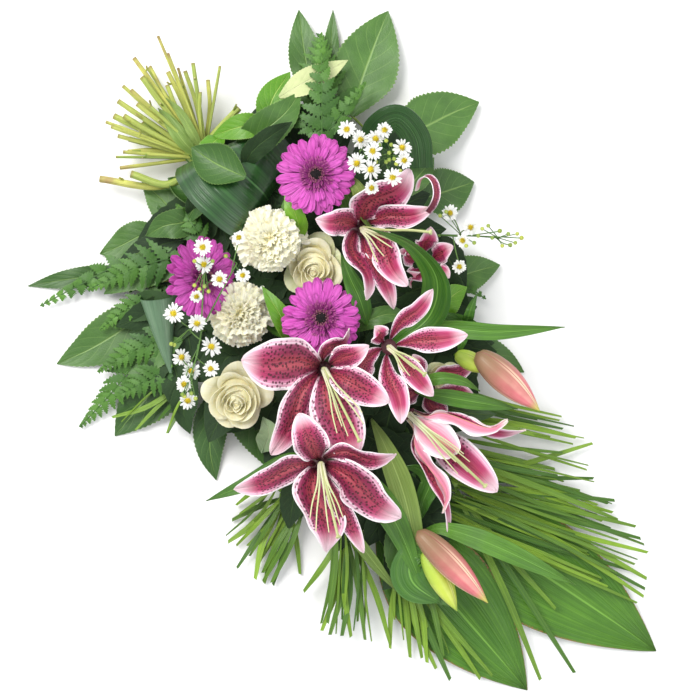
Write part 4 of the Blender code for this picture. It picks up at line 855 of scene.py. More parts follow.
def raffia_finish():
    made = Finish("raffia", 0.8)
    ribs = made.group(PARALLEL, Lines=9.0, Wander=5.0)
    spots = made.group(MOTTLING, Patch_Size=0.01, Speck_Size=0.0008)
    made.layer(None, (0.5, 0.36, 0.17))
    made.layer(made.tone, (0.62, 0.49, 0.27), 0.7)
    made.layer(ribs["Lines"], (0.3, 0.19, 0.08), 0.5)
    made.layer(spots["Patches"], (0.42, 0.3, 0.14), 0.5)
    made.relief(ribs["Lines"], 0.4)
    return made.done()


SALAL = broad_leaf("salal_leaf", (0.025, 0.08, 0.012), (0.08, 0.19, 0.03), (0.22, 0.36, 0.09), 0.45)
# Near-black leaves for the undergrowth and the 'deep' loose leaves: their darkness is painted shade for the
# hollows and gaps among the blooms.
PAINTED_SHADE_LEAF = broad_leaf("painted_shade_leaf", (0.004, 0.02, 0.003), (0.02, 0.065, 0.008), (0.05, 0.11, 0.02), 0.75)
SALAL_UNDER = broad_leaf("salal_underside", (0.15, 0.23, 0.08), (0.25, 0.34, 0.12), (0.36, 0.46, 0.2), 0.6)
BRIGHT_LEAF = broad_leaf("bright_leaf", (0.07, 0.22, 0.008), (0.19, 0.4, 0.02), (0.4, 0.56, 0.12), 0.42)
PALE_LEAF = broad_leaf("pale_leaf", (0.3, 0.38, 0.14), (0.55, 0.6, 0.3), (0.7, 0.7, 0.42), 0.55)
GREY_LEAF = broad_leaf("grey_leaf", (0.15, 0.24, 0.12), (0.25, 0.35, 0.18), (0.4, 0.48, 0.28), 0.4)
ASPIDISTRA = long_leaf("aspidistra_green", (0.01, 0.05, 0.01), (0.05, 0.17, 0.035), 0.25, lines=30.0,
                       midrib=0.025, depth=0.15, coat=0.5)
ASPIDISTRA_SHEEN = long_leaf("aspidistra_sheen", (0.06, 0.14, 0.07), (0.2, 0.31, 0.19), 0.3, lines=30.0,
                             depth=0.1)
ASPIDISTRA_UNDER = long_leaf("aspidistra_underside", (0.1, 0.2, 0.05), (0.2, 0.34, 0.1), 0.5, lines=22.0)
TI_LEAF = long_leaf("ti_leaf_green", (0.03, 0.13, 0.008), (0.13, 0.31, 0.02), 0.36, lines=34.0, midrib=0.03,
                    edge=(0.3, 0.11, 0.05))
LILY_LEAF = long_leaf("lily_leaf", (0.03, 0.13, 0.01), (0.13, 0.31, 0.03), 0.38, lines=9.0, midrib=0.06)
OLIVE_LEAF = long_leaf("olive_leaf", (0.15, 0.26, 0.04), (0.28, 0.4, 0.09), 0.42, lines=9.0, midrib=0.06)
PALM_LEAF = long_leaf("palm_green", (0.04, 0.13, 0.008), (0.3, 0.5, 0.03), 0.4, lines=4.0, depth=0.2,
                      vein_share=0.2)
FERN_LEAF = long_leaf("fern_green", (0.02, 0.09, 0.008), (0.15, 0.37, 0.03), 0.5, lines=6.0, depth=0.1,
                      vein_share=0.15)
STEM = stem_finish()
STEM_CUT = cut_end_finish()
RAFFIA = raffia_finish()
TEPAL = tepal_finish("lily_tepal")
TEPAL_OUTER = tepal_back_finish("lily_tepal_back")
FILAMENT = petal_finish("lily_filament", (0.62, 0.66, 0.35), (0.5, 0.58, 0.24), (0.7, 0.72, 0.45), lines=4.0,
                        root=(0.8, 0.78, 0.6), tip=(0.66, 0.6, 0.36))
STIGMA = petal_finish("lily_stigma", (0.5, 0.56, 0.22), (0.42, 0.44, 0.2), (0.6, 0.6, 0.34), lines=5.0)
MAGENTA = petal_finish("gerbera_magenta", (0.68, 0.075, 0.52), (0.3, 0.012, 0.19), (0.8, 0.2, 0.66),
                       lines=5.0, depth=0.5, root=(0.16, 0.006, 0.1), edge_share=0.35, tone_share=0.75)
MAGENTA_UNDER = petal_finish("gerbera_outer", (0.5, 0.16, 0.4), (0.4, 0.1, 0.3), (0.6, 0.25, 0.5), lines=5.0)
DISC = disc_finish()
MAGENTA_DARK = petal_finish("gerbera_short_floret", (0.42, 0.022, 0.28), (0.11, 0.004, 0.06),
                            (0.5, 0.07, 0.38),
                            lines=4.0, depth=0.4, root=(0.06, 0.003, 0.03), tip=(0.5, 0.12, 0.3),
                            tone_share=0.9)
FLORET_TIPS = petal_finish("gerbera_floret_tips", (0.16, 0.012, 0.08), (0.5, 0.26, 0.2), (0.3, 0.04, 0.2),
                           0.7, lines=3.0, root=(0.04, 0.003, 0.02), tone_share=0.7)
IVORY = petal_finish("carnation_ivory", (0.94, 0.91, 0.7), (0.92, 0.85, 0.5), (0.95, 0.93, 0.8), 0.7,
                     lines=12.0, depth=0.05, root=(0.9, 0.78, 0.34), glow=0.5)
CREAM = petal_finish("rose_cream", (0.84, 0.8, 0.56), (0.76, 0.69, 0.36), (0.9, 0.87, 0.7), 0.5, lines=24.0,
                     depth=0.1, root=(0.56, 0.48, 0.14), glow=0.3)
CREAM_GREEN = petal_finish("rose_guard_petal", (0.74, 0.76, 0.46), (0.58, 0.64, 0.24), (0.84, 0.84, 0.62),
                           0.5, lines=24.0, depth=0.1, root=(0.4, 0.52, 0.14), glow=0.3)
THROAT = petal_finish("lily_throat", (0.07, 0.006, 0.02), (0.04, 0.02, 0.012), (0.12, 0.01, 0.03), lines=8.0)
DAISY_RAY = petal_finish("daisy_white", (0.9, 0.91, 0.88), (0.8, 0.82, 0.78), (0.94, 0.95, 0.92), lines=4.0)
DAISY_DOME = petal_finish("daisy_yellow", (0.88, 0.7, 0.015), (0.74, 0.54, 0.01), (0.92, 0.8, 0.06), 0.7)
DAISY_BUD = petal_finish("daisy_bud", (0.52, 0.56, 0.07), (0.12, 0.25, 0.03), (0.62, 0.66, 0.2), 0.6,
                         tone_share=0.9)
THIN_STALK = long_leaf("thin_stalk", (0.08, 0.22, 0.04), (0.2, 0.36, 0.08), 0.55, lines=5.0)
BUD_GREEN = bud_finish("bud_green", (0.56, 0.66, 0.08), (0.26, 0.42, 0.03), (0.68, 0.74, 0.2),
                       (0.34, 0.5, 0.05), (0.36, 0.52, 0.06))
BUD_PINK = bud_finish("bud_pink", (0.7, 0.17, 0.2), (0.36, 0.05, 0.06), (0.9, 0.66, 0.46), (0.55, 0.6, 0.08),
                      (0.22, 0.15, 0.07))


# Places on the plan board, taken over from the part

CUT_ENDS = (
    (158, 36, 34), (134, 58, 20), (168, 53, 44), (193, 63, 40), (220, 66, 30), (123, 86, 14),
    (131, 90, 36), (118, 101, 26), (114, 116, 12), (111, 127, 34), (129, 139, 22), (123, 152, 40),
    (116, 157, 16), (100, 179, 18), (131, 174, 34), (148, 68, 12), (180, 76, 12), (178, 68, 26),
    (150, 106, 46), (239, 108, 26),
)
TI_LEAVES = {
    "ti_leaf_right": (((432, 500, 10), (480, 535, 6), (544, 575, 3), (607, 617, 3), (656, 651, 2)), 57),
    "ti_leaf_lower": (((380, 515, 9), (415, 560, 6), (458, 610, 3), (497, 655, 3), (527, 690, 2)), 54),
}
# Each sprig: its twig, then its leaves with their half widths
SALAL_SPRIGS = {
    "salal_top": (((372, 136, 20), (350, 114, 17), (329, 98, 14), (312, 96, 14)), (
        (((313, 100, 14), (306, 62, 13), (302, 36, 11), (299, 10, 8)), 17),
        (((331, 98, 13), (331, 52, 9), (332, 30, 6), (333, 10, 4)), 9),
        (((351, 116, 17), (361, 82, 16), (374, 46, 12), (388, 11, 6)), 33))),
    "salal_left_upper": (((186, 240, 22), (160, 232, 18), (146, 254, 15), (126, 268, 13)), (
        (((128, 268, 13), (98, 275, 8), (62, 280, 5), (28, 286, 2)), 11),
        (((161, 230, 18), (140, 236, 12), (120, 246, 8), (100, 254, 4)), 17),
        (((186, 242, 22), (174, 214, 18), (158, 196, 14), (142, 182, 10)), 20))),
    "salal_left_lower": (((204, 330, 20), (188, 344, 14), (176, 322, 14), (156, 306, 13)), (
        (((160, 304, 13), (128, 326, 9), (92, 348, 5), (57, 364, 2)), 25),
        (((187, 344, 14), (162, 380, 8), (138, 408, 5), (115, 436, 2)), 30),
        (((204, 330, 20), (222, 350, 16), (238, 366, 12), (254, 376, 8)), 18))),
    "salal_bottom_left": ((), (
        (((224, 385, 15), (212, 420, 9), (210, 450, 6), (216, 480, 3)), 18),
        (((224, 386, 15), (250, 416, 12), (268, 446, 10), (280, 478, 8)), 24),
        (((225, 385, 15), (262, 378, 14), (292, 392, 12), (316, 420, 10)), 22))),
    "salal_right_dark": ((), (
        (((446, 348, 14), (475, 352, 9), (500, 360, 6), (524, 372, 3)), 19),
        (((446, 348, 14), (430, 384, 12), (424, 420, 10), (434, 466, 8)), 27),
        (((447, 349, 14), (420, 322, 12), (392, 304, 10), (360, 290, 8)), 26))),
    "salal_right_lower": ((), (
        (((440, 286, 16), (462, 276, 12), (480, 270, 9), (500, 265, 6)), 19),)),
    "salal_right_upper": ((), (
        (((418, 200, 16), (438, 194, 12), (456, 188, 10), (474, 182, 6)), 25),
        (((418, 201, 16), (410, 232, 14), (396, 262, 12), (376, 286, 10)), 24))),
    "salal_upper_right": ((), (
        (((390, 140, 20), (422, 128, 18), (450, 114, 14), (479, 102, 8)), 31),)),
}
# Rachis path, half breadth at the foot, number of leaflets on a side
FERNS = {
    "fern_top": (((322, 138, 26), (323, 110, 24), (321, 75, 22), (320, 34, 16)), 52, 9),
    "fern_left_upper": (((164, 282, 22), (118, 268, 18), (78, 286, 14), (40, 306, 8)), 25, 8),
    "fern_left_comb": (((186, 250, 20), (174, 232, 19), (158, 206, 16)), 20, 5),
    "fern_left_middle": (((172, 306, 26), (150, 312, 22), (114, 328, 16)), 21, 5),
    "fern_left_lower": (((160, 326, 22), (140, 356, 18), (114, 390, 13), (80, 427, 6)), 36, 9),
    "fern_right": (((443, 285, 19), (468, 288, 16), (486, 299, 14)), 13, 4),
}
# Each fan: its foot, the tips of its main strips, the line that its finer strips reach to, the rib that they
# grow from, their number, and the half width of a main strip
PALMS = {
    "palm_right": ((452, 484), (
        (593, 478), (614, 500), (612, 512), (635, 526), (640, 538), (647, 552), (646, 578), (643, 596),
        (592, 443), (555, 608), (574, 672), (540, 679)), (
        (566, 416), (575, 428), (594, 444), (597, 478), (616, 500), (638, 528), (647, 552), (648, 582),
        (636, 606)), ((446, 382), (446, 516)), 42, 3.1),
    "palm_bottom": ((400, 560), (
        (390, 648), (410, 657), (427, 662), (436, 668), (450, 679), (480, 678), (492, 675)), (
        (384, 646), (410, 658), (440, 670), (462, 680)), ((380, 540), (420, 556)), 7, 3.1),
    "palm_middle": ((346, 528), (
        (304, 590), (322, 629), (330, 633), (342, 634), (351, 635), (365, 638), (390, 642)), (
        (318, 626), (334, 634), (356, 634), (372, 640)), ((332, 524), (366, 534)), 10, 3.1),
    "palm_left": ((286, 496), (
        (232, 520), (228, 542), (237, 568), (255, 579), (264, 583), (273, 585), (300, 574)), (
        (222, 510), (226, 540), (246, 574), (272, 588)), ((268, 478), (304, 508)), 12, 3.1),
    "palm_left_small": ((186, 382), (
        (113, 417), (136, 430), (168, 433)), (
        (112, 420), (140, 436), (172, 440)), ((180, 366), (196, 386)), 3, 2.2),
}
# Where each head or leaf of the upper layers meets its stem: right, down
SEATS = {
    "lily_a": (362, 229), "lily_b": (324, 369), "lily_c": (321, 463), "lily_d": (389, 347),
    "lily_e": (409, 414), "lily_f": (427, 388), "lily_g": (424, 262),
    "gerbera_top": (316, 175), "gerbera_middle": (321, 318), "gerbera_left": (203, 279),
    "carnation_upper": (270, 240), "carnation_lower": (240, 313),
    "rose_middle": (314, 268), "rose_left": (238, 398), "rose_hidden": (441, 378),
    "bud_green_right": (457, 355), "bud_pink_right": (479, 355),
    "bud_green_lower": (425, 552), "bud_pink_lower": (419, 533),
    "daisies_upper": (371, 160), "daisies_left": (203, 330), "daisies_right": (440, 235),
    "aspidistra_loop": (228, 168), "aspidistra_cone": (168, 366), "aspidistra_right": (372, 148),
    "collar_sprig": (273, 108),
}
# Stems from the tie to a fork or straight to one seat, and the seats on each
STEMS = {
    "lily_stem_upper": ((384, 232), ("lily_a", "lily_g", "aspidistra_right")),
    "lily_stem_middle": ((322, 346), ("lily_b", "lily_c")),
    "lily_stem_right": ((388, 326), ("lily_d", "bud_green_right", "bud_pink_right", "rose_hidden")),
    "lily_stem_lower": ((404, 404), ("lily_e", "lily_f", "bud_green_lower", "bud_pink_lower")),
}
# Stems of the foliage at the back: from a seat or fork above, to the foot of the leaf
FOLIAGE_STEMS = (
    ((404, 404), (432, 502)), ((321, 463), (346, 527)), ((321, 463), (287, 495)), ((372, 148), (391, 140)),
    ((372, 148), (369, 134)), ((424, 262), (446, 286)), ((424, 262), (419, 201)), ((441, 378), (447, 350)),
    ((238, 398), (223, 391)), ((203, 330), (200, 334)), ((203, 279), (187, 243)), ((203, 279), (166, 281)),
)
LILIES = {
    "lily_g": ((424, 262), 40, 64, (
        (431, 228, 72, 11), (452, 246, 68, 11), (450, 276, 64, 11), (408, 286, 58, 10), (398, 250, 60, 10))),
    "lily_f": ((427, 388), 42, 62, (
        (474, 364, 66, 10), (474, 396, 60, 11), (446, 420, 56, 11), (394, 402, 54, 10), (414, 354, 58, 10))),
    "lily_e": ((409, 414), 66, 96, (
        (458, 456, 92, 18), (509, 424, 84, 19), (526, 433, 68, 11), (498, 492, 62, 19), (451, 534, 56, 9),
        (447, 513, 78, 18))),
    "lily_d": ((389, 347), 84, 106, (
        (433, 290, 114, 10), (467, 335, 116, 13), (433, 396, 104, 11), (402, 423, 110, 13),
        (344, 387, 106, 12),
        (376, 326, 106, 11))),
    "lily_a": ((362, 229), 62, 96, (
        (413, 172, 108, 25), (432, 210, 102, 13), (406, 287, 106, 16), (395, 309, 82, 11), (370, 300, 96, 16),
        (315, 221, 102, 15))),
    "lily_b": ((324, 369), 66, 98, (
        (241, 362, 106, 28), (368, 347, 112, 13), (389, 402, 96, 17), (353, 463, 104, 25), (272, 456, 92, 17),
        (352, 330, 78, 10))),
    "lily_c": ((321, 463), 56, 92, (
        (299, 413, 104, 18), (396, 456, 100, 13), (400, 520, 92, 22), (364, 553, 84, 10), (330, 552, 96, 26),
        (234, 491, 100, 15))),
}
# The tip of a tepal that rolls back in a ring: the places of the ring and its half width
LILY_CURL = ((427, 212, 103), (433, 204, 105), (436, 194, 106), (434, 183, 104), (428, 177, 100),
             (421, 180, 95), (418, 190, 88)), 5.2
# Where the throat of a lily that leans looks, past its foot
LILY_LEAN = {"lily_e": (470, 462, 84)}
STAMENS = {
    "lily_a": ((392, 248, 116), (384, 256, 114), (396, 238, 118), (378, 262, 112), (400, 244, 114),
               (430, 232, 124)),
    "lily_b": ((337, 433, 116), (348, 436, 118), (362, 412, 118), (364, 424, 116), (342, 426, 120),
               (359, 440, 124)),
    "lily_c": ((310, 518, 112), (316, 531, 114), (329, 532, 116), (340, 525, 114), (343, 517, 112),
               (338, 536, 122)),
    "lily_d": ((415, 369, 124), (410, 376, 122), (420, 362, 122), (404, 372, 122), (412, 358, 124),
               (424, 374, 130)),
    "lily_e": ((456, 462, 96), (464, 454, 98), (470, 462, 96), (468, 472, 94), (458, 474, 94),
               (485, 486, 98)),
}
DAISIES_UPPER = (
    (347, 130, 9), (360, 140, 9), (376, 139, 9), (384, 131, 8), (373, 152, 9), (357, 164, 10), (370, 171, 10),
    (402, 148, 9), (404, 162, 8), (392, 180, 9), (371, 189, 7),
)
DAISIES_LEFT = (
    (203, 248, 9), (204, 265, 9), (221, 280, 8), (199, 297, 6), (175, 314, 10),
    (199, 323, 9), (212, 346, 10), (181, 357, 9), (191, 370, 9), (211, 369, 8), (184, 384, 8),
    (188, 400, 9), (243, 276, 7), (239, 238, 7),
)
DAISIES_RIGHT = (
    (450, 213, 8), (471, 227, 8), (462, 241, 7), (460, 267, 7), (500, 231, 4), (522, 238, 4), (510, 245, 4),
)


# The pieces


def laid(node, places, half, reach=9.0, **shape):
    """A fine leaf along these places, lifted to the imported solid."""
    return settle(node, blade(path(*places), half, **shape), reach)


def raised(node, grid):
    """A curled leaf lifted as a whole, by the middle of what its points ask for."""
    rows, cols = grid.shape[0] - 1, grid.shape[1] - 1
    spots = [(int(r * rows), int(c * cols)) for r in (0.1, 0.35, 0.6, 0.9) for c in (0.1, 0.35, 0.65, 0.9)]
    grid[:, :, 2] += float(np.median([lift_of(node, Vector(grid[spot]), pull=0.1) for spot in spots])) * MM
    return grid


def ti_leaf(name):
    places, half = TI_LEAVES[name]
    piece = Piece(name + "_look")
    piece.sheet(laid(name, places, half, rows=80, cols=22, wave=1.5, waves=3, curl=0.25, fold=0.02))
    piece.build([TI_LEAF], "ti_leaf_green", name)


def salal_sprig(name):
    twig, leaves = SALAL_SPRIGS[name]
    piece = Piece(name + "_look")
    for places, half in leaves:
        piece.sheet(laid(name, places, half, rows=48, cols=12, teeth=0.03, fold=0.12, wave=1.2, waves=2.5),
                    0, 1)
    if twig:
        lift = lift_of(name, plan(*twig[len(twig) // 2]))
        raise_by = up_by(lift)
        piece.rod([place + raise_by for place in smooth_path(path(*twig), 4)], 1.3, 2)
    piece.build([SALAL, SALAL_UNDER, STEM], "leaf_green", name)


def pinna_outline(t):
    return min(1.0, 0.5 + 3 * t) * (1 - t) ** 0.7


def frond(piece, spine, breadth, pairs, seed):
    """Toothed leaflets on both sides of a rib through these places."""
    curve = bpy.data.curves.new("rib", "CURVE")
    curve.dimensions = "3D"
    spline = curve.splines.new("POLY")
    spline.points.add(len(spine) - 1)
    for point, place in zip(spline.points, spine):
        point.co = (*place, 1)
    leaflet_path = [Vector((0, 0, 0)), Vector((0.5, 0.03, 0.03)), Vector((1, 0.14, -0.08))]
    leaflet_mesh = mesh_of(blade(leaflet_path, 270, rows=12, cols=2, outline=pinna_outline, fold=-0.12,
                                 teeth=0.3), 14)
    leaflet = bpy.data.objects.new("leaflet", leaflet_mesh)
    bpy.context.scene.collection.objects.link(leaflet)
    pitch = float(np.linalg.norm(np.diff(np.array(spine), axis=0), axis=1).sum()) / pairs
    grown = grow(curve, FROND, Leaflet=leaflet, Pairs=pairs, Breadth=breadth * MM, Spread=0.95, Rib=0.7 * MM,
                 Jitter=0.12, Seed=seed, Width=3.1 * pitch, Look=FERN_LEAF)
    bpy.data.objects.remove(leaflet)
    piece.mesh(grown, Matrix.Identity(4), 0, 0.15, 2 * pairs, 0.7)


def fern(name, pairs_more):
    """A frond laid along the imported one."""
    places, breadth, count = FERNS[name]
    bed = laid(name, places, breadth * 0.6, rows=36, cols=4)
    piece = Piece(name + "_look")
    frond(piece, bed[:, 2], 1.1 * breadth, int(count * pairs_more), count)
    piece.build([FERN_LEAF], "fern_green", name)


# Further fronds: places from the foot to the tip, breadth at the foot and pairs of leaflets
LOOSE_FRONDS = (
    (((178, 258, 40), (154, 262, 40), (124, 272, 28), (88, 290, 14)), 34, 13),
    (((204, 246, 44), (196, 230, 52), (186, 216, 48), (176, 204, 38)), 20, 9),
    (((172, 296, 26), (150, 300, 28), (124, 310, 24), (100, 330, 14)), 28, 12),
    (((170, 336, 26), (148, 344, 28), (122, 356, 22), (98, 372, 12)), 30, 12),
    (((178, 364, 28), (158, 374, 28), (136, 386, 20), (112, 398, 10)), 30, 12),
    (((322, 140, 58), (322, 116, 56), (322, 86, 50), (321, 34, 34)), 30, 12),
    (((322, 138, 56), (340, 116, 54), (354, 98, 46), (366, 82, 36)), 20, 9),
    (((320, 136, 56), (304, 122, 54), (288, 114, 50), (268, 106, 44)), 17, 9),
)


def loose_fronds():
    piece = Piece("loose_fronds_look")
    for k, (places, breadth, pairs) in enumerate(LOOSE_FRONDS):
        spine = smooth_path(path(*places), 8)
        frond(piece, spine, breadth, pairs, 40 + k)
        drop = Vector((*spine[0].xy, RUN_UP * MM))
        piece.rod([spine[1], spine[0], drop], 1.0, 1, 7)
    piece.build([FERN_LEAF, THIN_STALK], "fern_green")


def palm_strip(piece, start, middle, end, half, lift):
    """One flat strip of a palm leaf, faintly keeled, with its end cut off at a slant."""
    grid = blade(path(start, middle, end), half, rows=22, cols=4, outline=strip_outline,
                 fold=rng.uniform(0.0, 0.08),
                 twist=rng.uniform(-0.25, 0.25), cut=rng.choice((-0.6, -0.3, 0.3, 0.6)))
    grid[:, :, 2] += lift * MM
    piece.sheet(grid, tone=rng.choice((0.0, 0.2, 0.5, 0.75, 1.0)))


def palm(name):
    """A fan of narrow strips from one foot, and the finer strips between them from a rib across it."""
    foot, tips, arc, roots, count, half = PALMS[name]
    piece = Piece(name + "_look")
    strips = []
    for k, tip in enumerate(tips):
        bend = sheaf_rng.uniform(-7, 7)
        way = Vector((tip[0] - foot[0], tip[1] - foot[1])).normalized()
        half_way = (foot[0] * 0.45 + tip[0] * 0.55 - way.y * bend,
                    foot[1] * 0.45 + tip[1] * 0.55 + way.x * bend)
        start = (foot[0] + way.x * 3, foot[1] + way.y * 3, PALM_UP + 0.14 * (k % 7))
        middle = (*half_way, PALM_UP + sheaf_rng.uniform(-1, 5))
        end = (*tip, sheaf_rng.uniform(4, 16))
        strips.append((start, middle, end, half + sheaf_rng.uniform(-0.5, 0.5)))
    lift = float(np.median([lift_of(name, plan(*strip[1]), pull=0.1) for strip in strips]))
    for start, middle, end, wide in strips:
        palm_strip(piece, start, middle, end, wide, lift)
    arc_line = [Vector(spot) for spot in arc]
    root_line = Vector(roots[0]), Vector(roots[1])
    for k in range(count):
        share = ((k + rng.uniform(0.1, 0.9)) / count) ** 0.8
        spot = share * (len(arc_line) - 1)
        tip = arc_line[int(spot)].lerp(arc_line[int(spot) + 1], spot - int(spot))
        root = root_line[0].lerp(root_line[1], min(1.0, max(0.0, share + rng.uniform(-0.12, 0.12))))
        tip = root.lerp(tip, rng.choice((0.72, 0.8, 0.86, 0.92, 0.96, 1.0)) * rng.uniform(0.97, 1.0))
        half_way = root.lerp(tip, 0.5) + Vector((rng.uniform(-4, 4), rng.uniform(-4, 4)))
        height = rng.uniform(6, 18)
        palm_strip(piece, (*root, 12 + 2 * (k % 3)), (*half_way, height + 4),
                   (*tip, height * rng.uniform(0.3, 1.0)), half * rng.choice((0.4, 0.55, 0.7, 0.95)), lift)
    rib = [plan(*root_line[0].lerp(root_line[1], k / 6), 13 + lift) for k in range(7)]
    piece.rod(rib, [2, 3, 3.4, 3.6, 3.4, 3, 2], sides=8)
    hub = plan(*foot, PALM_UP + lift)
    piece.rod(column(hub, (-1.5, 0, 1.5)), [5, 7, 5], sides=12)
    piece.build([PALM_LEAF], "palm_green", name)


# How far each lily's face goes from pink to wine
LILY_DEPTH = {"lily_a": 0.62, "lily_b": 0.8, "lily_c": 0.97, "lily_d": 0.3, "lily_e": 0.2, "lily_f": 0.95,
              "lily_g": 0.4}


def lily(name):
    """Six tepals round the throat: the wide inner three, and the narrow outer three a little below them."""
    throat, foot_up, rim_up, tips = LILIES[name]
    foot = plan(*throat, foot_up)
    lean = LILY_LEAN.get(name)
    axis = (plan(*lean) - foot).normalized() if lean else Vector((0, 0, 1))
    depth = (rim_up - foot_up) * MM
    east = Vector((1, 0, 0)) - axis * axis.x
    east.normalize()
    north = axis.cross(east)
    tepals = []
    for right, down, up, half in tips:
        tip = plan(right, down, up)
        out = tip - foot
        out -= axis * out.dot(axis)
        tepals.append((math.atan2(out.dot(north), out.dot(east)), tip, out, half))
    tepals.sort(key=lambda tepal: tepal[0])
    share = math.tau / len(tepals)
    first = sum(angle - share * k for k, (angle, *_) in enumerate(tepals)) / len(tepals)
    piece = Piece(name + "_look")
    for k, (_, tip, out, half) in enumerate(tepals):
        ring = east * math.cos(first + share * k) + north * math.sin(first + share * k)
        lower, wider = (0, 0) if half > 13 else (-5, 2)
        flare = (ring + out.normalized()).normalized()
        reach = out.length
        places = [
            foot + ring * (5 + wider) * MM,
            foot + ring * (10 + wider) * MM + axis * (0.55 * depth + 0.5 * lower * MM),
            foot + flare * ((10 + wider) * MM + 0.22 * reach) + axis * (depth + lower * MM),
            (foot + axis * depth).lerp(tip, 0.66) + axis * (3 + lower) * MM,
            tip,
        ]
        grid = blade(places, half, rows=42, cols=16, outline=tepal_outline, fold=0.1, groove=2.2,
                     wave=0.11 * half + 0.6, waves=2.8, hook=0.14 * half + 1.5, face=-ring)
        tone = LILY_DEPTH[name] + rng.uniform(-0.08, 0.08)
        piece.sheet(settle(name, grid), 0, 1, PETAL_WALL, tone)
    if name == "lily_a":
        places, half = LILY_CURL
        curl = blade(path(*places), half, rows=36, cols=8, outline=loop_outline, curl=0.6, roll=0.75)
        piece.sheet(curl, 0, 1, PETAL_WALL, LILY_DEPTH[name])
    lift = lift_of(name, foot) * MM
    seat = foot + Vector((0, 0, lift))
    piece.rod([seat - axis * 4 * MM, seat, seat + axis * 2 * MM], [3.5, 8.0, 5.0], 2, 12)
    piece.build([TEPAL, TEPAL_OUTER, THROAT], "lily_pink", name)
    return lift / MM


def stamens(name, rise):
    """Filaments without anthers and the longer pistil, with its three-lobed stigma, on the ovary."""
    node = name.replace("lily", "stamens")
    throat, foot_up, _, _ = LILIES[name]
    seat = plan(*throat, foot_up + 9 + rise)
    seat.z += lift_of(node, seat, low=-8) * MM
    tips = []
    for right, down, up in STAMENS[name]:
        tip = plan(right, down, up + rise)
        tip.z += lift_of(node, tip, low=-8) * MM
        tips.append(tip)
    ahead = sum((tip - seat for tip in tips), Vector())
    aside = Vector((-ahead.y, ahead.x, 0)).normalized()
    pistil = tips[-1]
    tips.sort(key=lambda tip: math.atan2((tip - seat).dot(aside), (tip - seat).dot(ahead.normalized())))
    piece = Piece(node + "_look")
    for k, tip in enumerate(tips):
        root = seat + aside * (k - 0.5 * (len(tips) - 1)) * 0.9 * MM
        rise_by = Vector((0, 0, 0.09 * (tip - root).length))
        bow = root.lerp(tip, 0.35) + rise_by * 1.2 - aside * (k - 0.5 * (len(tips) - 1)) * 0.8 * MM
        late = root.lerp(tip, 0.7) + rise_by
        if tip == pistil:
            route = smooth_path([root, bow, late, tip], 6)
            radii = [1.2 + 0.25 * j / len(route) for j in range(len(route))]
            piece.rod(route, radii, 1, 8)
            way = (route[-1] - route[-3]).normalized()
            ends = [tip + way * d * MM for d in (-1.2, 0.2, 1.4, 2.2)]
            piece.rod(ends, [1.3, 2.6, 2.7, 1.2], 1, 15, lobes=0.2)
        else:
            route = smooth_path([root, bow, late, tip], 5)
            radii = [1.1 - 0.6 * j / len(route) for j in range(len(route))]
            piece.rod(route, radii, 0, 7)
    down = up_by(12)
    piece.rod([seat - down, seat - 0.6 * down, seat, seat + 0.1 * down], [1.6, 2.2, 2.6, 1.6], 0, 12,
              lobes=0.08)
    piece.build([FILAMENT, STIGMA], "lily_filament", node)


def ray_outline(t):
    return min(1.0, 0.42 + 0.9 * t, 2.6 * (1.03 - t) ** 0.55)


def flat_ray(length, half, rows=9, cols=4, **shape):
    """The mesh of one ray that points along X, with a soft arch."""
    shape.setdefault("outline", ray_outline)
    places = [Vector((0, 0, 0)), Vector((0.5 * length, 0, 0.05 * length)), Vector((length, 0, 0))]
    return mesh_of(blade([place * MM for place in places], half, rows=rows, cols=cols, **shape), PETAL_WALL)


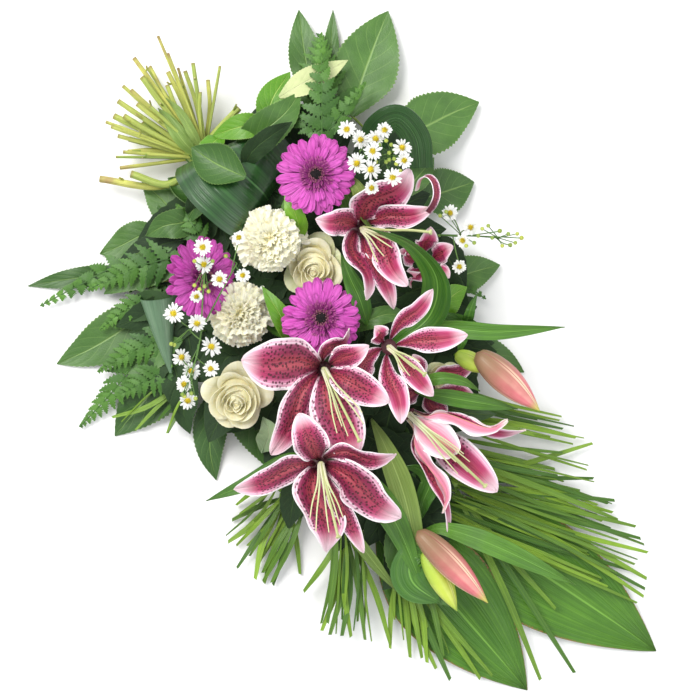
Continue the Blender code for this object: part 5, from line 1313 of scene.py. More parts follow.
def gerbera(name, up, radius, tilt=(0.0, 0.0), seed=1):
    """Three rows of rays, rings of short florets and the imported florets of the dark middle."""
    middle = plan(*SEATS[name], up)
    turn = Matrix.Rotation(tilt[0], 3, Vector((math.cos(tilt[1]), math.sin(tilt[1]), 0)))
    middle.z += lift_of(name, middle + turn @ up_by(1), low=-3) * MM
    place = Matrix.Translation(middle) @ turn.to_4x4()
    piece = Piece(name + "_look")
    # Each row: count, length, half width, reach, height, lean, jitter and tone. The tone of the three rows of
    # rays falls from the lowest to the highest, so the lowest row takes the most of the darker magenta:
    # painted shade under the rows above.
    rows = (
        (20, radius - 8, 4.9, 8, 0.2, 0.02, 0.06, 0.7), (19, radius - 9.5, 4.5, 7.5, 1.8, 0.09, 0.09, 0.3),
        (19, 0.7 * radius - 7, 3.1, 7, 3.4, 0.16, 0.14, 0.1), (40, 11.0, 1.3, 6.5, 4.8, 0.28, 0.18, 0.1),
        (38, 8.0, 1.1, 5.5, 5.6, 0.5, 0.2, 0.5), (28, 4.5, 0.9, 5, 5.8, 0.9, 0.2, 0.9),
    )
    for k, (count, length, half, reach, height, lean, jitter, tone) in enumerate(rows):
        ray = flat_ray(length, half, *((7, 4) if k < 3 else (4, 2)), fold=-0.14, groove=-0.3)
        grown = whorl(ray, count, MAGENTA, 10 * seed + k, (reach, reach), (height, height), (lean, lean),
                      jitter, turn=math.tau / count, ruffle=(1.6, 12))
        between = Matrix.Rotation((k % 2) * math.pi / count, 4, "Z")
        piece.mesh(grown, place @ between, 0 if k < 3 else 2, tone, count)
    back = column(middle, (-0.2, 1.0, 4.5), turn)
    piece.rod(back, [7, 10, 7.5], 1, 16)
    piece.build([MAGENTA, MAGENTA_UNDER, MAGENTA_DARK], "gerbera_magenta", name)
    node = name.replace("gerbera", "gerbera_disc")
    low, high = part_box(node)
    centre = 0.5 * (Vector(low) + Vector(high))
    floret = mesh_of(blade([Vector((0, 0, 0)), Vector((0.6, 0, 0)) * MM, Vector((1.3, 0, 0)) * MM], 0.5,
                           rows=2, cols=2, outline=ray_outline), 0.5)
    disc = Piece(node + "_look")
    base = Matrix.Translation(centre) @ turn.to_4x4()
    for count, near, far, high, low, size, look in ((60, 0, 4.4, 2.7, 1.5, 0.8, 0),
                                                    (120, 4.2, 7.8, 1.9, -0.4, 1.2, 1)):
        packed = whorl(floret.copy(), count, DISC, seed, (near, far), (high, low), (1.5, 0.8), 0.3,
                       (size, 1.2 * size))
        disc.mesh(packed, base, look, 0.5, count)
    dome = column(centre, (-2.4, -1.2, 0.4, 1.5, 2.3), turn)
    disc.rod(dome, [6.0, 7.6, 7.0, 5.2, 2.2], 0, 24)
    disc.build([DISC, FLORET_TIPS], "gerbera_disc", node)


def fan_outline(t):
    return 0.13 + 0.87 * min(1.0, t * 1.15) ** 1.2


def carnation(name, up, seed):
    """Toothed and ruffled petals in a spiral, upright in the middle and flat at the rim."""
    middle = plan(*SEATS[name], up)
    middle.z += lift_of(name, middle + up_by(11), low=-3) * MM
    piece = Piece(name + "_look")
    petal = mesh_of(blade([Vector((0, 0, 0)), Vector((11, 0, 1)) * MM, Vector((23, 0, -1)) * MM], 12.5,
                          rows=9, cols=16, outline=fan_outline, frill=2.4, fringe=0.45), 0.45)
    place = Matrix.Translation(middle)
    for part, (count, inner, outer, high, low, upright, flat, small, big, ruffle) in enumerate((
            (13, 8.0, 10.5, 1.0, -4.0, 0.2, 0.05, 0.95, 1.03, 2.5),
            (15, 5.0, 9.0, 5.0, 2.0, 0.5, 0.3, 0.84, 0.95, 3.5),
            (14, 2.0, 7.0, 8.0, 5.0, 0.85, 0.6, 0.7, 0.82, 5.0),
            (20, 0.5, 7.0, 9.0, 6.5, 1.3, 0.9, 0.5, 0.66, 7.0))):
        grown = whorl(petal.copy(), count, IVORY, seed + part, (inner, outer), (high, low), (upright, flat),
                      0.2, (small, big), ruffle=(ruffle, 13))
        piece.mesh(grown, place, 0, 0.1 + 0.25 * part, count)
    cup = column(middle, (-9, -6, 2, 8))
    piece.rod(cup, [2.5, 6.5, 8.5, 5.5], 0, 14)
    piece.build([IVORY], "carnation_ivory", name)


def rose_petal(foot_place, lean, height, angle, spread, foot, reach, top, flare, roll):
    """One broad petal: it rises from the foot, bows out to a pointed rim, and the rim rolls back."""
    rows, cols = 18, 18
    grid = np.zeros((rows + 1, cols + 1, 3))
    phase = rng.uniform(0, 6)
    for k in range(rows + 1):
        v = k / rows
        for c in range(cols + 1):
            u = 2 * c / cols - 1
            rise = v * (1 - 0.26 * abs(u) ** 2.6 - 0.13 * abs(u) + 0.03 * math.sin(4 * u + phase))
            turn = angle + u * spread * (0.55 + 0.45 * math.sin(0.5 * math.pi * v))
            out = foot + (reach - foot) * rise ** flare
            out *= 1 + 0.1 * u - 0.12 * u * u + 0.04 * math.sin(3 * u + phase) * v
            lip = max(0.0, v - 0.78) / 0.22
            curl = roll * (0.5 + 0.5 * math.sin(2.3 * u + phase))
            out += curl * lip * (1.2 - 0.4 * lip)
            up = top * rise ** 0.9 - 0.9 * abs(curl) * lip ** 2
            grid[k, c] = foot_place + (Vector((math.cos(turn) * out, math.sin(turn) * out,
                                               up)) + lean * up / height) * MM
    return grid


# Rings of a rose: petals, half angle, foot, reach and top as shares of the rose, flare and roll of the rim
ROSE_RINGS = (
    (2, 2.1, 0.04, 0.1, 1.0, 0.4, -1.0), (3, 1.5, 0.08, 0.2, 1.0, 0.45, -1.4),
    (3, 1.4, 0.12, 0.32, 0.98, 0.5, -0.8),
    (3, 1.3, 0.16, 0.46, 0.93, 0.6, 1.4), (3, 1.25, 0.22, 0.6, 0.85, 0.75, 2.6),
    (4, 1.1, 0.28, 0.78, 0.7, 0.9, 4.0),
    (5, 0.95, 0.3, 0.97, 0.46, 1.05, 4.5),
)
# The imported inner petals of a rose, as one body under the rims: height and radius as shares of the rose
ROSE_BODY = ((0.05, 0.3), (0.16, 0.58), (0.28, 0.56), (0.42, 0.46), (0.54, 0.35), (0.66, 0.24),
             (0.76, 0.14), (0.82, 0.05))


def rose(name, up, radius, height, rings=ROSE_RINGS, lean=(0.0, 0.0), guard=1):
    """Rings of broad petals round a closed heart that leans over. The guard petals may be tinged green."""
    middle = plan(*SEATS[name], up)
    lean = Vector((*lean, 0.0))
    foot_place = middle - lean * 0.45 * MM
    piece = Piece(name + "_look")
    for ring, (count, spread, foot, reach, top, flare, roll) in enumerate(rings):
        start = rng.uniform(0, math.tau)
        for k in range(count):
            angle = start + math.tau * k / count + rng.uniform(-0.2, 0.2)
            grid = rose_petal(foot_place, lean, height, angle, spread * rng.uniform(0.9, 1.1), foot * radius,
                              reach * radius * rng.uniform(0.94, 1.05),
                              top * height * rng.uniform(0.94, 1.02), flare, roll * rng.uniform(0.6, 1.2))
            look = guard if ring == len(rings) - 1 else 0
            piece.sheet(grid, look, look, PETAL_WALL, 0.1 + 0.12 * (len(rings) - ring) * rng.random())
    body = [foot_place + (lean * share + Vector((0, 0, share * height))) * MM for share, _ in ROSE_BODY]
    piece.rod(body, [share * radius for _, share in ROSE_BODY], 0, 24, 0.6)
    piece.build([CREAM, CREAM_GREEN], "rose_cream", name)


def bud(name, places, radius, look, slot):
    """A closed lily bud of three folded tepals."""
    foot, tip = path(*places)
    lift = up_by(lift_of(name, foot.lerp(tip, 0.5) + up_by(radius)))
    count = 26
    line = [foot.lerp(tip, k / count) + lift for k in range(count + 1)]
    radii = []
    for k in range(count + 1):
        t = k / count
        belly = max(0.0, math.sin(math.pi * t ** 0.78)) ** (0.5 + 0.4 * t)
        radii.append(max(0.3, radius * 1.06 * belly))
    piece = Piece(name + "_look")
    piece.rod(line, radii, 0, 36, 0.5, lobes=0.07)
    piece.build([look], slot, name)


def daisy_bloom(radius, seed):
    """One small daisy: rays round a yellow dome of florets."""
    count = 19
    ray = flat_ray(radius - 1.6, 1.15, rows=4, cols=2, fold=-0.15)
    rays = whorl(ray, count, DAISY_RAY, seed, (1.6, 1.6), (1.0, 1.0), (0.1, 0.1), 0.16, turn=math.tau / count)
    floret = mesh_of(blade([Vector((0, 0, 0)), Vector((0.5, 0, 0)) * MM, Vector((1.1, 0, 0)) * MM], 0.35,
                           rows=2, cols=1, outline=ray_outline), 0.35)
    dome = whorl(floret, 34, DAISY_DOME, seed, (0.0, 0.32 * radius), (2.6, 1.1), (1.5, 0.8), 0.2)
    return rays, dome


def daisies(name, heads, up, hubs, buds):
    """A spray of daisies on thin stalks from a few forks."""
    foot = plan(*SEATS[name], up - 34)
    lift = up_by(lift_of(name, foot))
    piece = Piece(name + "_look")
    forks = [(hub, plan(*hub, up - 20)) for hub in hubs]
    for hub, fork in forks:
        bow = foot.lerp(fork, 0.5) + lift + Vector((rng.uniform(-5, 5), rng.uniform(-5, 5), 4)) * MM
        piece.rod(smooth_path([foot + lift, bow, fork + lift], 6), 0.75, 2, 6)
    for k, (right, down, radius) in enumerate(heads):
        hub, fork = min(forks, key=lambda item: (item[0][0] - right) ** 2 + (item[0][1] - down) ** 2)
        head = plan(right, down, up + sheaf_rng.uniform(-5, 5))
        root = foot.lerp(fork, 0.96 - 0.13 * (k % 6)) + lift
        lean = Matrix.Rotation(sheaf_rng.uniform(-0.35, 0.35), 3, "X")
        lean = lean @ Matrix.Rotation(sheaf_rng.uniform(-0.35, 0.35), 3, "Y")
        turn = lean @ Matrix.Rotation(sheaf_rng.uniform(0, 0.8), 3, "Z")
        head.z += lift_of(name, head) * MM
        place = Matrix.Translation(head) @ turn.to_4x4()
        cup = column(head, (-1.2, 0.2, 1.5), turn)
        if radius > 4:
            rays, dome = daisy_bloom(radius, k)
            piece.mesh(rays, place, 0)
            piece.mesh(dome, place, 1)
            piece.rod(cup, [0.8, 2.0, 0.26 * radius], 2, 8)
            middle = column(head, (0.9, 1.8, 2.5), turn)
            piece.rod(middle, [0.3 * radius, 0.27 * radius, 0.13 * radius], 1, 10, 0.3)
        else:
            closed = [*cup, head + turn @ up_by(3.2)]
            piece.rod(closed, [0.8, 2.2, 2.4, 0.8], 3, 8)
        bow = root.lerp(head, 0.5) + Vector((rng.uniform(-2, 2), rng.uniform(-2, 2), 1)) * MM
        piece.rod(smooth_path([root, bow, cup[0]], 5), STALK_RADIUS, 2, 5)
    for right, down in buds:
        hub, fork = min(forks, key=lambda item: (item[0][0] - right) ** 2 + (item[0][1] - down) ** 2)
        tip = plan(right, down, up + rng.uniform(-8, 0)) + lift
        piece.rod(smooth_path([fork + lift, fork.lerp(tip, 0.6) + lift * 0.4, tip], 4), 0.5, 2, 5)
        line = column(tip, (-1.4, -0.4, 0.9, 1.8))
        piece.rod(line, [0.7, 2.0, 2.1, 0.9], 3, 8)
    piece.build([DAISY_RAY, DAISY_DOME, THIN_STALK, DAISY_BUD], "daisy_white", name)


def stem_slot(right, down, up, squeeze):
    """Where a stem from this place passes through the tie, packed into its round."""
    off = Vector((right - TIE_PLACE[0], down - TIE_PLACE[1]))
    slot = Vector(((off.x - off.y) * BUNDLE_SLANT * squeeze, (up - TIE_PLACE[2]) * 0.6))
    return slot * min(1.0, (TIE_CORE_RADIUS - STEM_RADIUS) / max(slot.length, 0.001))


def in_tie(slot, along):
    """A place this far along the bundle through the tie, at this slot of its round section."""
    right = TIE_PLACE[0] + (along + slot.x) * BUNDLE_SLANT
    down = TIE_PLACE[1] + (along - slot.x) * BUNDLE_SLANT
    return plan(right, down, TIE_PLACE[2] + slot.y)


def stem_radii(count, wide, joints):
    """A stem swollen a little at its joints."""
    spots = [(k * joints / count) % 1 - 0.5 for k in range(count)]
    return [wide * (0.97 + 0.06 * math.exp(-spot ** 2 * 90)) for spot in spots]


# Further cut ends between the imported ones, with their radii
MORE_CUT_ENDS = (
    (168, 72, 22, 2.6), (185, 71, 30, 2.2), (167, 85, 40, 2.3), (142, 77, 26, 3.2), (137, 104, 40, 2.4),
    (124, 116, 22, 3.0), (118, 136, 26, 2.2), (128, 152, 14, 2.6), (106, 122, 18, 1.8), (208, 80, 22, 2.2),
    (155, 92, 18, 3.4), (142, 124, 14, 3.6), (150, 66, 40, 1.5), (120, 168, 14, 2.0), (200, 92, 44, 2.0),
)
STOUT_ENDS = {(100, 179): 3.7, (131, 174): 3.9, (114, 116): 3.4, (118, 101): 2.8, (239, 108): 3.6,
              (129, 139): 2.8}
STOUT_BOWS = {(100, 179): (162, 186, 24), (131, 174): (170, 184, 34)}


def one_cut_stem(piece, tip, root, bow, wide, scarred):
    route = smooth_path([root, bow, tip], 14)
    piece.rod(route, stem_radii(len(route), wide, rng.choice((1, 2))), 0, 12, end_look=1)
    if scarred:
        scar = route[-rng.choice((6, 9, 12))]
        off = Vector((rng.uniform(-1, 1), rng.uniform(-1, 1), rng.uniform(0, 1))).normalized()
        twig = [scar, scar + off * 5 * MM, scar + off * 8 * MM + (tip - root).normalized() * 4 * MM]
        piece.rod(twig, [1.3, 1.1, 0.9], 0, 7, end_look=1)


def cut_stems(piece):
    for k, (right, down, up) in enumerate(CUT_ENDS):
        slot = stem_slot(right, down, up, 0.17)
        tip = plan(right, down, up)
        neck = in_tie(slot, -0.8 * TIE_WIDTH)
        wide = STEM_RADIUS * sheaf_rng.uniform(0.85, 1.15)
        root = neck + (neck - tip).normalized() * 12 * MM
        bow = neck.lerp(tip, 0.55)
        if k % 3 == 0:
            bow += up_by(sheaf_rng.uniform(-2, 3))
        wide = STOUT_ENDS.get((right, down), wide * rng.uniform(0.5, 0.9))
        if (right, down) in STOUT_BOWS:
            bow = plan(*STOUT_BOWS[right, down])
        one_cut_stem(piece, tip, root, bow, wide, k % 2)
    for right, down, up, wide in MORE_CUT_ENDS:
        tip = plan(right, down, up)
        neck = in_tie(stem_slot(right, down, up, 0.17), -0.8 * TIE_WIDTH)
        bow = neck.lerp(tip, 0.55) + Vector((rng.uniform(-3, 3), rng.uniform(-3, 3), rng.uniform(-1, 3))) * MM
        one_cut_stem(piece, tip, neck + (neck - tip).normalized() * 12 * MM, bow, wide, wide > 2.3)


def stems_to_heads(piece):
    """The stems' runs from the tie under the blooms, and their last stretch up to each head."""
    forked = {seat for _, seats in STEMS.values() for seat in seats}
    ends = [(fork, None) for fork, _ in STEMS.values()]
    ends += [(place, name) for name, place in SEATS.items() if name not in forked]
    routes = []
    for k, ((right, down), seat) in enumerate(ends):
        slot = stem_slot(right, down, 26 + 14 * math.sin(2.4 * k), 0.1)
        wide = 1.4 if seat and "daisies" in seat else STEM_RADIUS
        routes.append((seat, [in_tie(slot, -TIE_WIDTH), in_tie(slot, TIE_WIDTH),
                              plan(right, down, RUN_UP)], wide))
    for fork, seats in STEMS.values():
        for seat in seats:
            routes.append((seat, [plan(*fork, RUN_UP), plan(*SEATS[seat], RUN_UP)], 0.9 * STEM_RADIUS))
    for seat, route, wide in routes:
        if seat:
            spot = plan(*SEATS[seat], PLAN_HEIGHT)
            hit = solid_of(seat).ray_cast(Vector((spot.x, spot.y, -0.01)), Vector((0, 0, 1)))[0]
            top = hit.z if hit else solid_of(seat).find_nearest(spot)[0].z
            if top > (RUN_UP + 3) * MM:
                bend = Vector((spot.x, spot.y, RUN_UP * MM))
                inside = SEAT_DEPTH * MM if seat.startswith("lily") or seat == "daisies_right" else 0.0
                route = [*route[:-1], route[-1].lerp(bend, 0.5), bend + up_by(3),
                         Vector((spot.x, spot.y, top + inside))]
        line = [a.lerp(b, t / 6) for a, b in zip(route, route[1:]) for t in range(6)] + [route[-1]]
        piece.rod(line, stem_radii(len(line), wide, 3), 2, 10)
    for start, end in FOLIAGE_STEMS:
        high_end, low_end = plan(*start, PLAN_HEIGHT), plan(*end, 0)
        high_end.z, low_end.z = RUN_UP * MM, 10 * MM
        line = [high_end.lerp(low_end, t / 9) for t in range(10)]
        for place in line[1:]:
            place.z += lift_of("stem_bundle", place, low=-10, high=22, pull=0.1) * MM
        for k in range(1, 9):
            line[k].z = (line[k - 1].z + line[k].z + line[k + 1].z) / 3
        piece.rod(line, stem_radii(10, FOLIAGE_STEM_RADIUS, 2), 0, 9)


# Where the sheaf ends, a little inside its outer leaves
SHEAF_EDGE = (
    (196, 168), (228, 120), (262, 92), (296, 60), (334, 84), (374, 108), (424, 126), (440, 170), (452, 226),
    (470, 280), (500, 338), (500, 396), (466, 430), (456, 480), (456, 530), (452, 590), (404, 612),
    (356, 568),
    (300, 540), (256, 500), (222, 466), (186, 424), (146, 400), (112, 344), (110, 292), (134, 240),
    (164, 198),
)


def inside_sheaf(right, down):
    inside = False
    for (x0, y0), (x1, y1) in zip(SHEAF_EDGE, SHEAF_EDGE[1:] + SHEAF_EDGE[:1]):
        if (y0 > down) != (y1 > down) and right < x0 + (down - y0) * (x1 - x0) / (y1 - y0):
            inside = not inside
    return inside


def undergrowth():
    """Leaves that grow from the stems, low under the blooms, and close the sheaf between them. Their
    near-black colour is painted shade for the gaps between the blooms.
    """
    piece = Piece("undergrowth_look")
    start = Vector((TIE_PLACE[0] + 8, TIE_PLACE[1] + 8))
    ends = [fork for fork, _ in STEMS.values()] + [SEATS[seat] for _,
                                                   seats in STEMS.values() for seat in seats]
    ends += list(SEATS.values()) + [(452, 520), (420, 560), (352, 520), (300, 480)]
    for end in dict.fromkeys(ends):
        way = Vector(end) - start
        steps = max(1, round(way.length / 46))
        heading = math.atan2(way.y, way.x)
        for k in range(1, steps + 1):
            foot = start.lerp(Vector(end), (k - rng.uniform(0.1, 0.5)) / steps)
            for side in (-1, 1):
                angle = heading + side * rng.uniform(0.35, 1.25)
                length = rng.uniform(52, 84)
                while length > 26 and not inside_sheaf(foot.x + math.cos(angle) * length,
                                                       foot.y + math.sin(angle) * length):
                    length -= 6
                if length <= 26 or not inside_sheaf(foot.x, foot.y):
                    continue
                out = Vector((math.cos(angle), math.sin(angle))) * length
                droop = rng.uniform(-9, 1)
                places = ((foot.x, foot.y, 27), (foot.x + 0.5 * out.x, foot.y + 0.5 * out.y,
                                                 30 + 0.3 * droop),
                          (foot.x + out.x, foot.y + out.y, 27 + droop))
                grid = blade(path(*places), length * rng.uniform(0.24, 0.31), rows=14, cols=4, teeth=0.03,
                             fold=rng.uniform(0.0, 0.2), wave=1.2, roll=rng.uniform(-0.35, 0.35))
                piece.sheet(grid, 0, 1, tone=rng.uniform(0.0, 0.55))
    piece.build([PAINTED_SHADE_LEAF, SALAL_UNDER], "leaf_green")


# Loose leaves among the blooms: look, places from the foot to the tip, half width and turn about its path.
# The 'deep' ones are near-black leaves of painted shade, laid in the hollow beside the looped leaf and in
# gaps among the leaves.
LOOSE_LEAVES = (
    ("olive", ((372, 420, 50), (386, 448, 60), (402, 488, 60), (413, 532, 54), (423, 588, 44)), 13, 0.2),
    ("green", ((417, 524, 38), (424, 500, 42), (430, 482, 46), (417, 468, 52), (397, 468, 56)), 10.5, -0.5),
    ("dark", ((394, 516, 34), (402, 548, 38), (420, 578, 36), (450, 606, 30)), 21, 0.0),
    ("olive", ((336, 514, 34), (360, 544, 42), (380, 570, 38), (400, 594, 30)), 6.5, 0.2),
    ("green", ((410, 386, 74), (440, 378, 92), (462, 381, 90), (480, 391, 80)), 6.5, 0.3),
    ("green", ((416, 392, 62), (445, 397, 72), (480, 403, 68), (516, 409, 56)), 8.5, -0.2),
    ("dark", ((430, 404, 40), (456, 410, 46), (476, 414, 44), (497, 414, 38)), 10, 0.0),
    ("green", ((368, 326, 62), (360, 300, 82), (350, 278, 90), (341, 254, 88)), 10.5, 0.35),
    ("dark", ((350, 332, 56), (372, 319, 66), (392, 314, 66), (414, 322, 58)), 9.5, 0.0),
    ("bright", ((426, 322, 38), (444, 304, 46), (455, 294, 44), (467, 287, 36)), 15, 0.1),
    ("grey", ((262, 452, 36), (269, 434, 48), (263, 417, 48)), 12, 0.1),
    ("bright", ((316, 346, 56), (334, 346, 64), (350, 336, 66)), 8, 0.0),
    ("dark", ((236, 150, 40), (262, 132, 60), (286, 112, 60), (300, 92, 50)), 19, 0.2),
    ("dark", ((200, 214, 34), (184, 222, 48), (164, 226, 50), (146, 236, 40)), 15, -0.3),
    ("green", ((470, 332, 50), (450, 322, 56), (436, 318, 58), (424, 324, 56)), 9, 0.0),
    ("bright", ((222, 136, 40), (214, 142, 54), (206, 152, 58), (199, 166, 50)), 11, 0.5),
    ("dark", ((246, 176, 44), (214, 186, 58), (196, 206, 56), (184, 226, 44)), 16, 0.5),
    ("deep", ((244, 168, 60), (252, 152, 76), (268, 138, 80), (292, 122, 66)), 12, 0.3),
    ("deep", ((372, 176, 44), (384, 164, 48), (394, 152, 44), (404, 142, 36)), 15, 0.0),
    ("dark", ((404, 198, 42), (412, 184, 42), (422, 172, 36), (434, 158, 26)), 13, 0.0),
    ("deep", ((192, 218, 42), (194, 206, 58), (196, 194, 60), (192, 180, 52)), 9, 0.3),
    ("dark", ((192, 262, 38), (162, 264, 30), (132, 276, 20), (104, 294, 12)), 19, 0.0),
    ("deep", ((184, 240, 40), (164, 244, 34), (142, 252, 24), (118, 262, 14)), 15, 0.2),
    ("deep", ((180, 306, 40), (156, 304, 32), (134, 310, 22), (110, 322, 12)), 15, 0.0),
    ("dark", ((182, 340, 38), (160, 350, 28), (138, 362, 18), (114, 372, 10)), 16, 0.1),
    ("deep", ((196, 376, 38), (186, 396, 30), (184, 414, 22), (190, 434, 14)), 14, 0.0),
    ("bright", ((298, 350, 50), (290, 332, 70), (277, 310, 80), (262, 286, 74)), 11, 0.3),
    ("bright", ((302, 238, 56), (298, 222, 74), (292, 206, 80), (285, 188, 74)), 10, -0.2),
    ("olive", ((370, 228, 66), (364, 206, 84), (357, 188, 92), (345, 172, 88)), 9, 0.3),
    ("olive", ((200, 158, 36), (184, 142, 44), (170, 122, 42), (158, 108, 34)), 8, 0.2),
    ("olive", ((204, 154, 42), (192, 132, 50), (180, 112, 50), (166, 98, 42)), 5, -0.2),
)


# Their looks, in the order in which they are grown
LOOSE_LOOKS = {
    "deep": (PAINTED_SHADE_LEAF, "leaf_green"), "dark": (SALAL, "leaf_green"), "bright": (BRIGHT_LEAF, "leaf_green"),
    "grey": (GREY_LEAF, "leaf_green"), "olive": (OLIVE_LEAF, "stem_green"),
    "green": (LILY_LEAF, "stem_green"),
}


def loose_leaves():
    for kind, (look, slot) in LOOSE_LOOKS.items():
        piece = Piece("loose_leaves_" + kind)
        for leaf_kind, places, half, roll in LOOSE_LEAVES:
            if leaf_kind == kind:
                broad = kind in ("deep", "dark", "bright")
                piece.sheet(blade(path(*places), half, rows=44, cols=12, teeth=0.025 if broad else 0.0,
                                  fold=0.14, wave=1.0, roll=roll))
                foot = path(*places[:2])
                drop = Vector((*foot[0].xy, RUN_UP * MM))
                piece.rod(smooth_path([foot[1].lerp(foot[0], 0.8), foot[0], drop.lerp(foot[0], 0.5), drop],
                                      4), 1.1,
                          sides=7)
        piece.build([look], slot)


# Leaves of the lily stems: seat of the riser, the leaf's places (the first gives only its height), half width
LILY_LEAVES = (
    ("gerbera_top", ((0, 0, 52), (308, 190, 56), (290, 212, 58), (306, 226, 52)), 12),
    ("gerbera_middle", ((0, 0, 44), (300, 322, 46), (276, 318, 50), (262, 292, 58)), 17),
    ("lily_a", ((0, 0, 54), (354, 206, 60), (346, 190, 62), (352, 170, 58)), 12),
    ("lily_d", ((0, 0, 44), (420, 334, 50), (456, 324, 50), (492, 334, 44)), 13),
    ("lily_d", ((0, 0, 58), (440, 330, 66), (500, 332, 74), (565, 327, 70)), 9),
    ("lily_f", ((0, 0, 30), (462, 398, 40), (490, 404, 44), (518, 409, 40)), 8),
    ("bud_green_right", ((0, 0, 40), (466, 322, 44), (470, 308, 44), (476, 294, 38)), 6),
    ("lily_c", ((0, 0, 50), (360, 480, 56), (394, 520, 56), (423, 588, 44)), 14),
    ("bud_pink_lower", ((0, 0, 36), (446, 528, 44), (500, 548, 44), (576, 585, 32)), 11),
    ("bud_green_lower", ((0, 0, 28), (410, 556, 32), (412, 580, 30), (440, 602, 24)), 20),
    ("lily_c", ((0, 0, 44), (290, 460, 56), (250, 482, 54), (206, 501, 44)), 9),
    ("lily_d", ((0, 0, 46), (428, 318, 62), (437, 280, 100), (412, 246, 126), (368, 228, 120)), 17),
)


def lily_leaves(piece):
    for seat, places, half in LILY_LEAVES:
        route = ((*SEATS[seat], places[0][2]), *places[1:])
        piece.sheet(laid("stem_bundle", route, half, rows=46, cols=10, fold=0.15, wave=0.7, waves=2), 2)


def tie():
    """Raffia wound round the stems, with its knot and two loose ends."""
    piece = Piece("tie_look")
    turns, steps = 9, 26
    for strand in range(2):
        line = []
        for k in range(turns * steps + 1):
            angle = math.tau * k / steps + math.pi * strand
            wide = TIE_RADIUS - 1.2 + 0.7 * math.sin(2.1 * angle + strand) * 0.6 + 0.5 * strand
            along = TIE_WIDTH * (k / (turns * steps) - 0.5) + 0.5 * math.sin(3.3 * angle)
            line.append(in_tie(Vector((math.cos(angle), math.sin(angle))) * wide, along))
        outward = line[0] - in_tie(Vector((0, 0)), -0.5 * TIE_WIDTH)
        piece.sheet(blade(line[::2], 1.5, rows=len(line) // 2, cols=2, outline=lambda t: 1.0,
                          face=outward), wall=0.5)
    crown = in_tie(Vector((0, TIE_RADIUS + 1)), 0)
    knot = [crown + Vector((x, 0, 0)) * MM for x in (-4.5, -2.5, 0, 2.5, 4.5)]
    piece.rod(knot, [1.2, 2.6, 3.0, 2.6, 1.2], 0, 12)
    for side in (-1, 1):
        end = [crown, crown + Vector((side * 8, 6, 0.5)) * MM, crown + Vector((side * 15, 2, -6)) * MM,
               crown + Vector((side * 21, 6, -16)) * MM]
        piece.sheet(blade(end, 1.6, rows=20, cols=3, outline=strip_outline, fold=0.2))
    piece.build([RAFFIA], "raffia", "tie")


def single(name, grid, looks, slot, tone=None):
    """A node of one leaf, with its face and its underside."""
    piece = Piece(name + "_look")
    piece.sheet(grid, 0, len(looks) - 1, tone=tone)
    piece.build(looks, slot, name)


for leaf_name in TI_LEAVES:
    ti_leaf(leaf_name)
for sprig_name in SALAL_SPRIGS:
    salal_sprig(sprig_name)
for palm_name in PALMS:
    palm(palm_name)
for fern_name in FERNS:
    fern(fern_name, 1.25 if fern_name == "fern_top" else 1.6)
tie()
undergrowth()
loose_leaves()
loose_fronds()

# The collar, the looped and rolled aspidistra leaves

SHARP = {"rows": 48, "cols": 16, "teeth": 0.025, "fold": 0.1}
dark_roll = blade(path((208, 206, 34), (190, 193, 38), (168, 178, 30)), 17, curl=1.5, **SHARP)
single("collar_dark_roll", raised("collar_dark_roll", dark_roll), [SALAL, PALE_LEAF], "leaf_green")
grey = blade(path((246, 178, 78), (216, 164, 62), (192, 148, 50)), 23, curl=0.8, **SHARP)
single("collar_grey", raised("collar_grey", grey), [SALAL, SALAL_UNDER], "leaf_green", 0.2)
cream = laid("cream_leaf", ((280, 100, 30), (312, 80, 36), (348, 60, 32)), 13, **SHARP)
single("cream_leaf", cream, [PALE_LEAF, SALAL_UNDER], "leaf_green")
sprig = Piece("collar_sprig_look")
sprig.sheet(laid("collar_sprig", ((272, 126, 50), (244, 126, 58), (212, 136, 44)), 13, **SHARP), 0, 1)
sprig.sheet(laid("collar_sprig", ((266, 128, 50), (272, 100, 54), (290, 72, 44)), 15, **SHARP), 0, 1)
sprig.build([BRIGHT_LEAF, SALAL_UNDER], "leaf_green", "collar_sprig")

loop = laid("aspidistra_loop", ((222, 148, 38), (226, 156, 58), (243, 174, 72), (262, 192, 60),
                                (268, 200, 40)), 58,
            rows=60, cols=44, outline=loop_outline, wave=0.8)
single("aspidistra_loop", loop, [ASPIDISTRA, ASPIDISTRA_UNDER], "aspidistra_green")
cone = blade(path((171, 373, 33), (164, 340, 40), (158, 300, 50)), 52, rows=40, cols=60, outline=cone_outline,
             curl=2.75, roll=math.pi)
single("aspidistra_cone", raised("aspidistra_cone", cone), [ASPIDISTRA, ASPIDISTRA_SHEEN], "aspidistra_green")
ear = laid("aspidistra_right",
           ((372, 148, 44), (378, 128, 64), (398, 118, 72), (416, 138, 62), (420, 168, 46)), 15, rows=60,
           cols=16, outline=loop_outline)
single("aspidistra_right", ear, [ASPIDISTRA, ASPIDISTRA_UNDER], "aspidistra_green")

# The blooms

rose("rose_hidden", 34, 17, 22, ROSE_RINGS[3:])
rose("rose_middle", 40, 34, 31, lean=(9.0, -8.0))
rose("rose_left", 42, 33, 34, lean=(11.0, -10.0), guard=0)
carnation("carnation_upper", 62, 3)
carnation("carnation_lower", 62, 8)
gerbera("gerbera_left", 60, 40, tilt=(math.radians(34), math.radians(140)), seed=3)
gerbera("gerbera_middle", 84, 39, seed=5)
gerbera("gerbera_top", 92, 39, seed=9)
for lily_name in LILIES:
    lily_lift = lily(lily_name)
    if lily_name in STAMENS:
        stamens(lily_name, lily_lift)
bud("bud_green_lower", ((424, 550, 50), (457, 611, 52)), 11, BUD_GREEN, "bud_green")
bud("bud_pink_lower", ((417, 531, 72), (488, 603, 74)), 13, BUD_PINK, "bud_pink")
bud("bud_green_right", ((455, 354, 74), (491, 372, 76)), 9, BUD_GREEN, "bud_green")
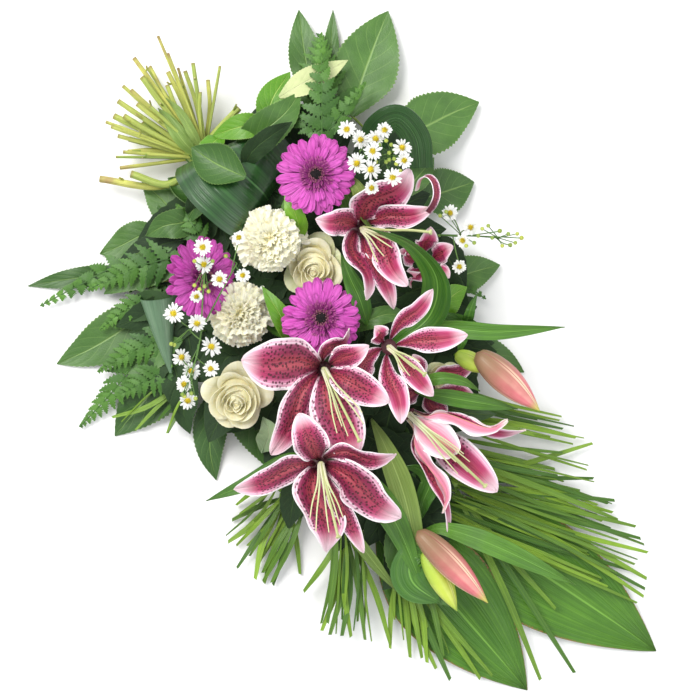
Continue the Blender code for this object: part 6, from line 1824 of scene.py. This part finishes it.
bud("bud_pink_right", ((476, 353, 88), (540, 411, 86)), 14, BUD_PINK, "bud_pink")
daisies("daisies_upper", DAISIES_UPPER, 104, ((362, 150), (392, 156)), (
    (386, 142), (379, 146), (391, 146), (394, 151), (386, 163), (389, 161), (396, 165), (387, 174),
    (394, 160), (376, 163), (400, 172), (389, 154)))
daisies("daisies_left", DAISIES_LEFT, 106, ((206, 268), (190, 330), (192, 376), (238, 264)), (
    (173, 344), (196, 286), (201, 290), (206, 287), (184, 394), (197, 398), (214, 262), (176, 345),
    (210, 292), (186, 396), (193, 393), (196, 262), (227, 257)))
daisies("daisies_right", DAISIES_RIGHT, 84, ((462, 236), (498, 238)), (
    (508, 234), (517, 234), (515, 243), (502, 246), (482, 229), (492, 238), (446, 212), (440, 216),
    (466, 246), (474, 243), (488, 226), (478, 236)))

stems = Piece("stem_bundle_look")
cut_stems(stems)
stems_to_heads(stems)
stem_core = in_tie(Vector((0, 0)), -TIE_CORE_RADIUS), in_tie(Vector((0, 0)), TIE_CORE_RADIUS)
stems.rod([stem_core[0].lerp(stem_core[1], t / 4) for t in range(5)], TIE_CORE_RADIUS - 3, 0, 20)
lily_leaves(stems)
stems.build([STEM, STEM_CUT, LILY_LEAF], "stem_green", "stem_bundle")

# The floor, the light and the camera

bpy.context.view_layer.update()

bpy.ops.mesh.primitive_plane_add(size=30)
floor = bpy.context.object
floor.name = "floor"
floor_look = bpy.data.materials.new("floor_paper")
floor_look.use_nodes = True
floor_shader = floor_look.node_tree.nodes["Principled BSDF"]
floor_shader.inputs["Base Color"].default_value = (0.9, 0.9, 0.9, 1)
floor_shader.inputs["Roughness"].default_value = 0.8
floor.data.materials.append(floor_look)

world = bpy.data.worlds.new("studio")
bpy.context.scene.world = world
world.use_nodes = True
world.node_tree.nodes["Background"].inputs["Color"].default_value = (0.97, 0.98, 1.0, 1)
world.node_tree.nodes["Background"].inputs["Strength"].default_value = 0.7
bpy.context.scene.view_settings.view_transform = "Standard"


def soft_light(name, place, side, power, colour):
    """A square studio light that looks at the middle of the sheaf."""
    lamp = bpy.data.lights.new(name, "AREA")
    lamp.size, lamp.energy, lamp.color = side, power, colour
    made = bpy.data.objects.new(name, lamp)
    bpy.context.scene.collection.objects.link(made)
    made.location = place
    made.rotation_euler = (Vector((0, 0, 0.05)) - Vector(place)).to_track_quat("-Z", "Y").to_euler()


board_turn = Matrix.Rotation(LAY_ANGLE, 3, "Z")
soft_light("key", board_turn @ Vector((-1.3, 1.3, 2.1)), 1.6, 88, (1.0, 0.985, 0.96))
soft_light("fill", board_turn @ Vector((1.6, -0.9, 1.7)), 2.2, 26, (0.96, 0.98, 1.0))

lens = bpy.data.cameras.new("camera")
lens.sensor_width = 36.0
lens.lens = lens.sensor_width * (EYE_HEIGHT - PLAN_HEIGHT) / BOARD_SIDE
eye = bpy.data.objects.new("camera", lens)
bpy.context.scene.collection.objects.link(eye)
eye.location = BOARD_SHIFT + up_by(EYE_HEIGHT)
eye.rotation_euler = (0, 0, LAY_ANGLE)
bpy.context.scene.camera = eye
